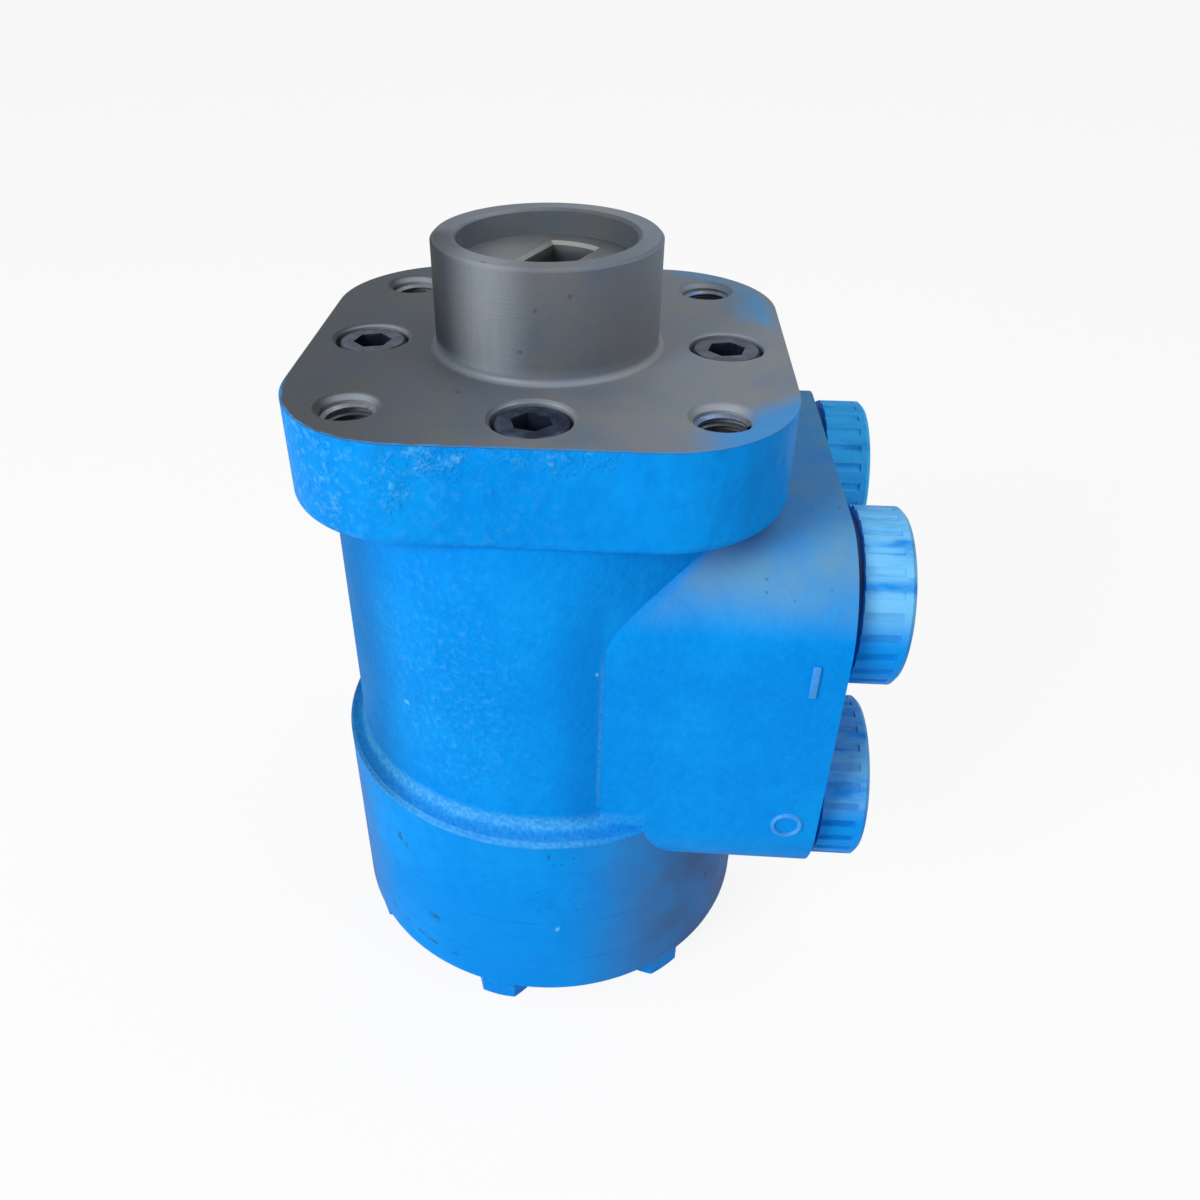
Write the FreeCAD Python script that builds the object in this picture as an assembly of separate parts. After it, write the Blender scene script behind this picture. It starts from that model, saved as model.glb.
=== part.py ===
import FreeCAD, Part
import math
import os

# Orbital steering unit, millimetres.
# Origin: centre of the front cover's top face. +Z: along the input shaft,
# out of the boss. +X: towards the port face.

os.makedirs("parts", exist_ok=True)

V = FreeCAD.Vector
UP = V(0, 0, 1)
OUT = V(1, 0, 0)

# Front cover
flange_half = 56.0
flange_corner_r = 30.0
flange_t = 24.0
flange_lower_edge_r = 2.5
boss_r = 26.15
boss_bore_r = 20.43
boss_edge = 0.7
boss_foot_r = 1.6
boss_root_depth = 5.0
corner_hole_pitch = 77.8
corner_hole_r = 6.0
corner_hole_depth = 20.0
corner_hole_mouth_r = 7.3
drill_tip_angle = 59.0
cover_web_t = 10.0
web_bore_room = 1.4
recess_room = 1.4

# Cap screws that hold the cover on the body
cap_screw_circle_r = 42.1
cap_screw_r = 5.0
cap_head_r = 8.0
cap_head_h = 10.0
cap_head_sink = 0.8
cap_counterbore_r = 8.75
cap_counterbore_mouth_r = 9.5
cap_socket_across = 8.0
cap_socket_depth = 5.0
cap_socket_turn = 15.0
cap_head_edge = 0.6
cap_screw_clearance = 0.5
cap_screw_grip = 20.0
tapped_hole_spare = 3.0

# Valve body casting
shoulder_step = 4.4
casting_bottom_z = -136.0
shoulder_z = -109.0
shoulder_fillet_r = 3.6
shoulder_lip = 0.8
main_bore_r = 19.03
ring_pocket_room = 0.37
ring_pocket_z = -43.0
gallery_depth = 3.37
gallery_w = 5.0
gallery_pitch = 14.0
gallery_first_z = -62.0
feed_hole_r = 2.2

# Port block on the side of the casting
port_face_reach = 17.3
block_front_inset = 2.7
block_rear_reach = 3.8
block_top_z = -29.5
block_bottom_z = -132.0
block_front_corner_r = 24.0
block_rear_corner_r = 18.0
block_rear_corner_x = 34.0

# Ports and their plugs
port_pitch = 60.0
port_mid_y = 6.0
port_mid_z = -82.5
port_thread_r = 16.6
port_depth = 20.0
port_mouth = 0.8
passage_r = 5.0
plug_head_overhang = 5.0
plug_head_t = 11.5
plug_rim = 1.0
plug_flutes = 26
plug_flute_depth = 0.55
plug_flute_share = 0.46
plug_band_w = 2.6
plug_thread_clearance = 0.1
plug_thread_l = 13.0
plug_hollow_r = 12.4
plug_web_t = 3.5
plug_dish_r = 14.0
plug_dish_depth = 2.5
plug_dish_draft = 1.0
plug_seal_t = 2.5
plug_seal_w = 2.6

# Gear set below the casting
spacer_t = 5.0
gear_t = 16.0
end_cover_t = 13.6
end_cover_edge_r = 1.6
stack_turn = 2.0
stator_teeth = 7
tooth_circle_r = 42.5
tooth_r = 9.0
eccentricity = 3.0
mesh_clearance = 0.06
cavity_clearance = 0.3
rotor_side_clearance = 0.02
rotor_points_per_lobe = 16
spacer_bore_room = 1.4
feed_slot_reach = 2.0

# Splines between the drive shaft and the rotor
spline_teeth = 12
spline_root_r = 9.9
spline_tip_r = 12.0
spline_tooth_w = 2.4
spline_clearance = 0.45
spline_l = 9.0
spline_drop = 0.6

# Bolts through the end cover
bolt_r = 5.0
bolt_head_across = 16.5
bolt_head_h = 6.2
bolt_washer_t = 1.0
bolt_washer_r = 8.9
bolt_head_edge_h = 0.8
bolt_head_edge_w = 0.4
bolt_clearance = 0.3
bolt_grip = 18.0
barrel_wall = 4.3

# Face seals
o_ring_r = 0.9
o_ring_side_room = 0.35
cavity_to_groove_wall = 0.45
groove_to_bolt_wall = 0.95
recess_to_groove_wall = 2.35

# Connecting block that the steering column turns
disc_depth = 6.0
disc_t = 14.0
disc_clearance = 0.04
neck_r = 14.0
tongue_w = 9.0
tongue_h = 6.0
tongue_clearance = 0.05
tang_slot_w = 11.2
tang_slot_end_r = 14.4
tang_slot_depth = 11.5
tang_slot_turn = 66.0
tang_slot_edge = 0.8
dust_ring_r = 1.0
dust_ring_rise = 4.9
dust_groove_room = 0.2

# Shaft seal in the cover
seal_h = 4.6
seal_to_disc_gap = 0.5
seal_room = 0.03
seal_lip_room = 0.05
seal_wall = 1.6

# Thrust bearing between cover and sleeve
race_t = 2.0
race_bore_room = 1.3
race_w = 7.3
needle_r = 1.25
needle_count = 16
needle_room = 0.12
cage_t = 1.7
cage_rim = 0.8
cage_inner_inset = 0.9
cage_outer_inset = 0.2

# Control valve set
sleeve_wall = 3.96
valve_clearance = 0.03
spool_wall = 3.61
spool_bottom_z = -130.0
spool_top_z = -20.0
sleeve_end_clearance = 0.05
spring_slot_z = -35.0
leaf_h = 8.0
leaf_t = 0.5
leaf_bow = 0.45
leaf_slot_w = 4.3
leaf_slot_room = 0.1
leaf_end_room = 0.2
spring_ring_t = 2.2
spring_ring_h = 11.0
pin_z = -52.0
pin_r = 3.97
pin_clearance = 0.03
pin_end_room = 0.1
spool_swing = 8.0
meter_holes = 6
meter_hole_r = 1.6
spool_groove_r = 1.8
spool_groove_low_z = -112.0
spool_groove_high_z = -66.0
spool_ring_groove_w = 3.0

# Drive shaft
shaft_r = 8.0
shaft_head_room = 1.7
shaft_head_top = 8.0
shaft_head_low = 11.0
fork_clearance = 0.33
fork_depth = 5.5

# Limit post under the drive shaft
post_r = 8.0
post_h = 5.4
post_clearance = 0.03
post_edge_r = 1.5

# Check valve between the pressure and return sides
check_x = 30.0
check_y = -21.0
check_ball_r = 4.25
check_bore_r = 4.5
check_seat_r = 3.0
check_seat_z = -46.0
check_lift = 1.5
check_room = 0.04
bushing_r = 5.6
bushing_hex = 4.0
bushing_sink = 0.3

# Radii worked out from the gear set outwards
cavity_r = tooth_circle_r - tooth_r + 2 * eccentricity + cavity_clearance
groove_half_w = o_ring_r + o_ring_side_room
lower_seal_circle_r = cavity_r + cavity_to_groove_wall + groove_half_w
bolt_hole_r = bolt_r + bolt_clearance
bolt_circle_r = lower_seal_circle_r + groove_half_w + groove_to_bolt_wall + bolt_hole_r
barrel_r = bolt_circle_r + bolt_hole_r + barrel_wall
body_r = barrel_r - shoulder_step
port_face_x = body_r + port_face_reach
block_front_y = block_front_inset - body_r
block_rear_y = body_r + block_rear_reach
plug_head_r = port_thread_r + plug_head_overhang

# Radii worked out from the bores and the neck of the connecting block
sleeve_outer_r = main_bore_r - valve_clearance
sleeve_inner_r = sleeve_outer_r - sleeve_wall
spool_r = sleeve_inner_r - valve_clearance
spool_bore_r = spool_r - spool_wall
shaft_head_r = spool_bore_r - shaft_head_room
spring_ring_r = sleeve_outer_r + valve_clearance + spring_ring_t
ring_pocket_r = spring_ring_r + ring_pocket_room
gallery_r = main_bore_r + gallery_depth
spacer_bore_r = spline_tip_r + spacer_bore_room
cover_web_bore_r = neck_r + web_bore_room
race_inner_r = neck_r + race_bore_room
race_outer_r = race_inner_r + race_w
bearing_recess_r = race_outer_r + recess_room
cover_seal_circle_r = bearing_recess_r + recess_to_groove_wall + groove_half_w
cage_inner_r = race_inner_r + cage_inner_inset
cage_outer_r = race_outer_r - cage_outer_inset
needle_l = cage_outer_r - cage_inner_r - 2 * cage_rim

# Levels worked out from the sizes above
cover_bottom_z = -flange_t
disc_bottom_z = seal_h + seal_to_disc_gap
disc_top_z = disc_bottom_z + disc_t
boss_h = disc_top_z + disc_depth
dust_ring_z = disc_bottom_z + dust_ring_rise
race_top_z = -cover_web_t
cage_top_z = race_top_z - race_t
cage_bottom_z = cage_top_z - 2 * needle_r
sleeve_top_z = cage_bottom_z - race_t - sleeve_end_clearance
spacer_bottom_z = casting_bottom_z - spacer_t
gear_bottom_z = spacer_bottom_z - gear_t
end_bottom_z = gear_bottom_z - end_cover_t
rotor_mid_z = spacer_bottom_z - spline_l / 2 - spline_drop
rotor_centre = V(eccentricity * math.cos(math.radians(stack_turn)),
                 eccentricity * math.sin(math.radians(stack_turn)), 0)
shaft_tilt = math.degrees(math.atan2(eccentricity, pin_z - rotor_mid_z))
cap_seat_z = -cap_head_sink - cap_head_h
cap_screw_end_z = cover_bottom_z - cap_screw_grip
plug_seat_x = port_face_x + plug_seal_t
plug_face_x = plug_seat_x + plug_head_t
ball_z = check_seat_z + math.sqrt(check_ball_r ** 2 - check_seat_r ** 2) + check_room


def cylinder(radius, z_low, z_high, x=0.0, y=0.0):
    return Part.makeCylinder(radius, z_high - z_low, V(x, y, z_low))


def ring(outer_r, inner_r, z_low, z_high):
    return cylinder(outer_r, z_low, z_high).cut(cylinder(inner_r, z_low - 1, z_high + 1))


def turned(points):
    """Solid of revolution about Z from a closed outline of (radius, z) points."""
    outline = [V(r, 0, z) for r, z in points]
    wire = Part.makePolygon(outline + outline[:1])
    return Part.Face(wire).revolve(V(0, 0, 0), UP, 360)


def block(x_low, x_high, y_low, y_high, z_low, z_high):
    return Part.makeBox(x_high - x_low, y_high - y_low, z_high - z_low, V(x_low, y_low, z_low))


def hexagon(across, z_low, z_high, x=0.0, y=0.0, turn=0.0):
    corner_r = across / math.sqrt(3)
    corners = []
    for k in range(7):
        angle = math.radians(60 * k + turn)
        corners.append(V(x + corner_r * math.cos(angle), y + corner_r * math.sin(angle), z_low))
    return Part.Face(Part.makePolygon(corners)).extrude(V(0, 0, z_high - z_low))


def turned_copy(shape, angle):
    copy = shape.copy()
    copy.rotate(V(0, 0, 0), UP, angle)
    return copy


def circle_of(shape, count, start=0.0):
    return [turned_copy(shape, start + 360.0 * k / count) for k in range(count)]


def bevel(radius, mouth_r, z, x=0.0, y=0.0):
    """Countersink cone that opens upwards and ends flush with level z."""
    depth = mouth_r - radius
    return Part.makeCone(radius, mouth_r, depth, V(x, y, z - depth))


def round_ring(circle_r, z):
    return Part.makeTorus(circle_r, o_ring_r, V(0, 0, z), UP)


def groove_below(circle_r, z):
    """Square seal groove cut down from level z, as deep as the ring is thick."""
    return ring(circle_r + groove_half_w, circle_r - groove_half_w, z - 2 * o_ring_r, z)


def edges_where(shape, test):
    return [edge for edge in shape.Edges if test(edge)]


def save(name, shape):
    shape.exportStep(os.path.join("parts", name + ".step"))


def save_group(name, shapes):
    save(name, Part.makeCompound(shapes))


# Front cover

def rounded_square(half, corner_r, z_low, z_high):
    plate = block(-half, half, -half, half, z_low, z_high)
    upright = edges_where(plate, lambda e: abs(e.Vertexes[0].Z - e.Vertexes[1].Z) > 1)
    return plate.makeFillet(corner_r, upright)


def flange():
    plate = rounded_square(flange_half, flange_corner_r, cover_bottom_z, 0)
    lower = edges_where(plate, lambda e: e.BoundBox.ZMax < cover_bottom_z + 0.01)
    return plate.makeFillet(flange_lower_edge_r, lower)


def column_boss():
    """Round boss of the cover: bore of the column socket, rounded foot, and a root in the plate."""
    foot = boss_r + boss_foot_r
    root_z = -boss_root_depth
    sweep = math.sqrt(0.5)
    middle = V(foot - boss_foot_r * sweep, 0, boss_foot_r * (1 - sweep))
    outside = [V(boss_bore_r + boss_edge, 0, boss_h), V(boss_r - boss_edge, 0, boss_h),
               V(boss_r, 0, boss_h - boss_edge), V(boss_r, 0, boss_foot_r)]
    inside = [V(foot, 0, 0), V(foot, 0, root_z), V(boss_bore_r, 0, root_z),
              V(boss_bore_r, 0, boss_h - boss_edge), outside[0]]
    edges = [Part.makeLine(a, b) for a, b in zip(outside, outside[1:])]
    edges.append(Part.Arc(outside[-1], middle, inside[0]).toShape())
    edges += [Part.makeLine(a, b) for a, b in zip(inside, inside[1:])]
    return Part.Face(Part.Wire(edges)).revolve(V(0, 0, 0), UP, 360)


def corner_hole(x, y):
    tip = corner_hole_r / math.tan(math.radians(drill_tip_angle))
    hole = cylinder(corner_hole_r, -corner_hole_depth, 1, x, y)
    point = Part.makeCone(0, corner_hole_r, tip, V(x, y, -corner_hole_depth - tip))
    return hole.fuse([point, bevel(corner_hole_r, corner_hole_mouth_r, 0, x, y)])


def cap_screw_hole(angle):
    pocket = cylinder(cap_counterbore_r, cap_seat_z, 1, cap_screw_circle_r)
    mouth = bevel(cap_counterbore_r, cap_counterbore_mouth_r, 0, cap_screw_circle_r)
    shank = cylinder(cap_screw_r + cap_screw_clearance, cover_bottom_z - 1, 0, cap_screw_circle_r)
    return turned_copy(pocket.fuse([mouth, shank]), angle)


def front_cover():
    half = corner_hole_pitch / 2
    cuts = [corner_hole(sx * half, sy * half) for sx in (-1, 1) for sy in (-1, 1)]
    cuts += [cap_screw_hole(angle) for angle in (0, 90, 180, 270)]
    cuts.append(cylinder(cover_web_bore_r, cover_bottom_z - 1, 1))
    cuts.append(cylinder(bearing_recess_r, cover_bottom_z - 1, race_top_z))
    cuts.append(ring(boss_r + boss_foot_r, boss_bore_r, -boss_root_depth, 1))
    return flange().cut(cuts)


def cap_screw():
    x = cap_screw_circle_r
    head = cylinder(cap_head_r, cap_seat_z, -cap_head_sink, x)
    rim = edges_where(head, lambda e: e.BoundBox.ZMin > -cap_head_sink - 0.01)
    head = head.makeChamfer(cap_head_edge, rim)
    socket_z = -cap_head_sink - cap_socket_depth
    socket = hexagon(cap_socket_across, socket_z, 1, x, 0, cap_socket_turn)
    shank = cylinder(cap_screw_r, cap_screw_end_z, cap_seat_z, x)
    return head.cut(socket).fuse(shank).removeSplitter()


# Valve body casting

def casting_outline():
    """Half section of the round casting: upper cylinder, rough shoulder and barrel."""
    step = barrel_r - shoulder_lip - body_r
    fillet_top = shoulder_z + shoulder_fillet_r
    lip_z = shoulder_z
    flat_r = barrel_r - shoulder_lip
    sweep = math.sqrt(0.5)
    a = V(body_r, 0, fillet_top)
    b = V(body_r + shoulder_fillet_r * (1 - sweep), 0, fillet_top - shoulder_fillet_r * sweep)
    c = V(body_r + min(step, shoulder_fillet_r), 0, fillet_top - shoulder_fillet_r)
    points = [V(0, 0, cover_bottom_z), V(body_r, 0, cover_bottom_z), a]
    edges = [Part.makeLine(p, q) for p, q in zip(points, points[1:])]
    edges.append(Part.Arc(a, b, c).toShape())
    rest = [c, V(flat_r, 0, lip_z - shoulder_lip), V(barrel_r, 0, lip_z - 1.4 * shoulder_lip),
            V(barrel_r, 0, casting_bottom_z), V(0, 0, casting_bottom_z), points[0]]
    edges += [Part.makeLine(p, q) for p, q in zip(rest, rest[1:])]
    return Part.Wire(edges)


def port_block():
    """Block with round-cornered port face, tapered at the back into the round body."""
    face = block(0, port_face_x, block_front_y, block_rear_y, block_bottom_z, block_top_z)
    for level, radius in ((block_front_y, block_front_corner_r), (block_rear_y, block_rear_corner_r)):
        corners = edges_where(face, lambda e: abs(e.Vertexes[0].X - e.Vertexes[1].X) > 1
                              and e.BoundBox.YMin > level - 0.01 and e.BoundBox.YMax < level + 0.01)
        face = face.makeFillet(radius, corners)
    reach = math.hypot(block_rear_corner_x, block_rear_y)
    corner_angle = math.atan2(block_rear_y, block_rear_corner_x)
    touch = corner_angle + math.acos(body_r / reach)
    tangent = V(body_r * math.cos(touch), body_r * math.sin(touch), block_bottom_z)
    plan = [V(0, block_front_y, block_bottom_z), V(port_face_x, block_front_y, block_bottom_z),
            V(port_face_x, block_rear_y, block_bottom_z),
            V(block_rear_corner_x, block_rear_y, block_bottom_z), tangent]
    slab = Part.Face(Part.makePolygon(plan + plan[:1])).extrude(V(0, 0, block_top_z - block_bottom_z))
    return face.common(slab)


def port_centres():
    """Front and rear column of ports, each with an upper and a lower one."""
    half = port_pitch / 2
    centres = {}
    for column, sy in (("front", -1), ("rear", 1)):
        for row, sz in (("upper", 1), ("lower", -1)):
            centres[column + "_" + row] = (port_mid_y + sy * half, port_mid_z + sz * half)
    return centres


def gallery_level(index):
    return gallery_first_z - gallery_pitch * index


def port_hole(y, z):
    hole = Part.makeCylinder(port_thread_r, port_depth, V(port_face_x - port_depth, y, z), OUT)
    mouth = Part.makeCone(port_thread_r, port_thread_r + port_mouth, port_mouth,
                          V(port_face_x - port_mouth, y, z), OUT)
    return hole.fuse(mouth)


def passage(y, z, gallery_z):
    """Slanted drilling from the bottom of a port to its ring gallery."""
    start = V(port_face_x - port_depth + 1, y, z)
    angle = math.atan2(y, port_face_x)
    end = V(main_bore_r * math.cos(angle), main_bore_r * math.sin(angle), gallery_z)
    run = end - start
    return Part.makeCylinder(passage_r, run.Length, start, run)


def cover_bolt_tapping(angle):
    low = cap_screw_end_z - tapped_hole_spare
    hole = cylinder(cap_screw_r, low, cover_bottom_z + 1, cap_screw_circle_r)
    return turned_copy(hole, angle)


def feed_hole(z_low, z_high):
    return cylinder(feed_hole_r, z_low, z_high, gallery_r)


def check_valve_bore():
    return [cylinder(check_bore_r, check_seat_z, cover_bottom_z, check_x, check_y),
            cylinder(bushing_r, check_ceiling_z(), cover_bottom_z + 1, check_x, check_y),
            cylinder(check_seat_r, check_seat_z - 14, check_seat_z + 1, check_x, check_y)]


def check_ceiling_z():
    return ball_z + check_ball_r + check_lift


def valve_body():
    casting = Part.Face(casting_outline()).revolve(V(0, 0, 0), UP, 360)
    casting = casting.fuse(port_block()).removeSplitter()
    cuts = [cylinder(main_bore_r, casting_bottom_z - 1, cover_bottom_z + 1),
            cylinder(ring_pocket_r, ring_pocket_z, cover_bottom_z + 1)]
    for index, name in enumerate(("front_upper", "rear_upper", "rear_lower", "front_lower")):
        y, z = port_centres()[name]
        level = gallery_level(index)
        cuts.append(cylinder(gallery_r, level - gallery_w / 2, level + gallery_w / 2))
        cuts.append(port_hole(y, z))
        cuts.append(passage(y, z, level))
    cuts += [cover_bolt_tapping(angle) for angle in (0, 90, 180, 270)]
    lower_tapping = cylinder(bolt_r, casting_bottom_z - 1,
                             casting_bottom_z + bolt_grip + tapped_hole_spare, bolt_circle_r)
    cuts += circle_of(lower_tapping, stator_teeth, stack_turn)
    half_step = 180.0 / stator_teeth
    feed = feed_hole(casting_bottom_z - 1, gallery_level(3))
    cuts += circle_of(feed, stator_teeth, stack_turn + half_step)
    cuts += check_valve_bore()
    cuts.append(groove_below(cover_seal_circle_r, cover_bottom_z))
    cuts.append(groove_below(lower_seal_circle_r, casting_bottom_z + 2 * o_ring_r))
    return casting.cut(cuts)


# Port plugs

def plug_head():
    head = Part.makeCylinder(plug_head_r, plug_head_t, V(plug_seat_x, 0, 0), OUT)
    rim = edges_where(head, lambda e: e.BoundBox.XMin > plug_face_x - 0.01)
    head = head.makeChamfer(plug_rim, rim)
    half_w = plug_flute_share * math.pi * plug_head_r / plug_flutes
    flute_r = (half_w ** 2 + plug_flute_depth ** 2) / (2 * plug_flute_depth)
    flute = Part.makeCylinder(flute_r, plug_head_t - plug_band_w + 1,
                              V(plug_seat_x - 1, 0, plug_head_r - plug_flute_depth + flute_r), OUT)
    flutes = []
    for k in range(plug_flutes):
        cut = flute.copy()
        cut.rotate(V(0, 0, 0), OUT, 360.0 * k / plug_flutes)
        flutes.append(cut)
    return head.cut(flutes)


def port_plug(y, z):
    """Moulded screw plug: fluted head with a dished face, and a hollow threaded spigot."""
    spigot_r = port_thread_r - plug_thread_clearance
    inner_end_x = port_face_x - plug_thread_l
    dish_x = plug_face_x - plug_dish_depth
    spigot = Part.makeCylinder(spigot_r, plug_seat_x - inner_end_x, V(inner_end_x, 0, 0), OUT)
    hollow = Part.makeCylinder(plug_hollow_r, dish_x - plug_web_t - inner_end_x,
                               V(inner_end_x, 0, 0), OUT)
    dish = Part.makeCone(plug_dish_r - plug_dish_draft, plug_dish_r, plug_dish_depth,
                         V(dish_x, 0, 0), OUT)
    plug = plug_head().fuse(spigot).cut([hollow, dish])
    plug.translate(V(0, y, z))
    return plug


def plug_seal(y, z):
    outer_r = port_thread_r + plug_seal_w
    outer = Part.makeCylinder(outer_r, plug_seal_t, V(port_face_x, y, z), OUT)
    inner = Part.makeCylinder(port_thread_r, plug_seal_t + 2, V(port_face_x - 1, y, z), OUT)
    return outer.cut(inner)


# Gear set

def plate_with_bolt_holes(z_low, z_high):
    plate = cylinder(barrel_r, z_low, z_high)
    hole = cylinder(bolt_hole_r, z_low - 1, z_high + 1, bolt_circle_r)
    return plate.cut(circle_of(hole, stator_teeth, stack_turn))


def spacer_plate():
    plate = plate_with_bolt_holes(spacer_bottom_z, casting_bottom_z)
    half_step = 180.0 / stator_teeth
    inner = gallery_r
    outer = tooth_circle_r - tooth_r + feed_slot_reach
    low = spacer_bottom_z - 1
    slot = block(inner, outer, -feed_hole_r, feed_hole_r, low, casting_bottom_z + 1)
    ends = [cylinder(feed_hole_r, low, casting_bottom_z + 1, r) for r in (inner, outer)]
    cuts = circle_of(slot.fuse(ends), stator_teeth, stack_turn + half_step)
    cuts.append(cylinder(spacer_bore_r, low, casting_bottom_z + 1))
    return plate.cut(cuts)


def stator_ring():
    """Outer gear: a round cavity with one rounded tooth standing at every bolt."""
    body = plate_with_bolt_holes(gear_bottom_z, spacer_bottom_z)
    cavity = cylinder(cavity_r, gear_bottom_z - 1, spacer_bottom_z + 1)
    tooth = cylinder(tooth_r, gear_bottom_z - 2, spacer_bottom_z + 2, tooth_circle_r)
    cavity = cavity.cut(circle_of(tooth, stator_teeth, stack_turn))
    cuts = [cavity, groove_below(lower_seal_circle_r, spacer_bottom_z),
            groove_below(lower_seal_circle_r, gear_bottom_z + 2 * o_ring_r)]
    return body.cut(cuts)


def rotor_outline_point(angle):
    """Point of the inner gear: the path of a stator tooth's centre, stepped in by its radius."""
    n = stator_teeth
    x = tooth_circle_r * math.cos(angle) - eccentricity * math.cos(n * angle)
    y = tooth_circle_r * math.sin(angle) - eccentricity * math.sin(n * angle)
    dx = -tooth_circle_r * math.sin(angle) + n * eccentricity * math.sin(n * angle)
    dy = tooth_circle_r * math.cos(angle) - n * eccentricity * math.cos(n * angle)
    step = (tooth_r + mesh_clearance) / math.hypot(dx, dy)
    return V(x - dy * step, y + dx * step, 0)


def rotor():
    count = rotor_points_per_lobe * (stator_teeth - 1)
    points = [rotor_outline_point(2 * math.pi * k / count) for k in range(count)]
    curve = Part.BSplineCurve()
    curve.interpolate(points, PeriodicFlag=True)
    outline = Part.Face(Part.Wire(curve.toShape()))
    low = gear_bottom_z + rotor_side_clearance
    height = gear_t - 2 * rotor_side_clearance
    outline.translate(V(0, 0, low))
    gear = outline.extrude(V(0, 0, height))
    gear = turned_copy(gear, stack_turn)
    bore = cylinder(spline_root_r + spline_clearance, low - 1, low + height + 1)
    half = spline_tooth_w / 2 + spline_clearance
    groove = block(0, spline_tip_r + spline_clearance, -half, half, low - 1, low + height + 1)
    gear = gear.cut([bore] + circle_of(groove, spline_teeth, stack_turn))
    gear.translate(rotor_centre)
    return gear


def end_cover():
    plate = plate_with_bolt_holes(end_bottom_z, gear_bottom_z)
    rim = edges_where(plate, lambda e: e.BoundBox.ZMax < end_bottom_z + 0.01
                      and e.BoundBox.XMax > barrel_r - 0.01)
    return plate.makeFillet(end_cover_edge_r, rim)


def end_cover_bolt():
    x = bolt_circle_r
    seat = end_bottom_z - bolt_washer_t
    low = seat - bolt_head_h
    head = hexagon(bolt_head_across, low, seat, x, 0, 30)
    corner_r = bolt_head_across / math.sqrt(3)
    crown = turned([(0, seat), (corner_r, seat), (corner_r, low + bolt_head_edge_h),
                    (bolt_head_across / 2 - bolt_head_edge_w, low), (0, low)])
    crown.translate(V(x, 0, 0))
    shank = cylinder(bolt_r, seat, casting_bottom_z + bolt_grip, x)
    return head.common(crown).fuse(shank).removeSplitter()


def bolt_washer():
    washer = ring(bolt_washer_r, bolt_hole_r, end_bottom_z - bolt_washer_t, end_bottom_z)
    washer.translate(V(bolt_circle_r, 0, 0))
    return washer


# Input side

def tang_slot():
    """Slot with straight sides and ends on one circle, as a turned driver fits it."""
    low = disc_top_z - tang_slot_depth
    strip = block(-tang_slot_end_r - 1, tang_slot_end_r + 1, -tang_slot_w / 2, tang_slot_w / 2,
                  low, disc_top_z + 1)
    return turned_copy(strip.common(cylinder(tang_slot_end_r, low, disc_top_z + 1)), tang_slot_turn)


def connecting_block():
    disc_r = boss_bore_r - disc_clearance
    disc = cylinder(disc_r, disc_bottom_z, disc_top_z)
    neck = cylinder(neck_r, spool_top_z, disc_bottom_z)
    tongue = block(-neck_r, neck_r, -tongue_w / 2, tongue_w / 2, spool_top_z - tongue_h, spool_top_z)
    tongue = tongue.common(cylinder(neck_r, spool_top_z - tongue_h, spool_top_z))
    shape = disc.fuse([neck, tongue]).removeSplitter().cut(tang_slot())
    mouth = edges_where(shape, lambda e: e.BoundBox.ZMin > disc_top_z - 0.01
                        and e.BoundBox.XMax < disc_r - 1)
    shape = shape.makeChamfer(tang_slot_edge, mouth)
    half_w = dust_ring_r + dust_groove_room
    groove = ring(disc_r + 1, disc_r - dust_ring_r - half_w, dust_ring_z - half_w, dust_ring_z + half_w)
    return shape.cut(groove)


def dust_ring():
    return Part.makeTorus(boss_bore_r - disc_clearance - dust_ring_r, dust_ring_r,
                          V(0, 0, dust_ring_z), UP)


def shaft_seal():
    """Lip seal: outer shell, web and an inner lip that runs on the neck."""
    outer = boss_bore_r - seal_room
    inner = neck_r + seal_lip_room
    return turned([(outer, seal_room), (outer, seal_h), (inner + seal_wall, seal_h),
                   (inner, seal_h - seal_wall), (inner, seal_h - 2 * seal_wall),
                   (inner + seal_wall, seal_h - 2.2 * seal_wall),
                   (outer - seal_wall, seal_h - seal_wall), (outer - seal_wall, seal_room)])


def race(z_low):
    return ring(race_outer_r, race_inner_r, z_low, z_low + race_t)


def needle():
    middle = (cage_inner_r + cage_outer_r) / 2
    start = V(middle - needle_l / 2, 0, (cage_top_z + cage_bottom_z) / 2)
    return Part.makeCylinder(needle_r - needle_room / 8, needle_l, start, OUT)


def bearing_cage():
    middle = (cage_inner_r + cage_outer_r) / 2
    level = (cage_top_z + cage_bottom_z) / 2
    cage = ring(cage_outer_r, cage_inner_r, level - cage_t / 2, level + cage_t / 2)
    half_l = needle_l / 2 + needle_room
    half_w = needle_r + needle_room
    pocket = block(middle - half_l, middle + half_l, -half_w, half_w, level - cage_t, level + cage_t)
    return cage.cut(circle_of(pocket, needle_count))


# Control valve set

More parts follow.
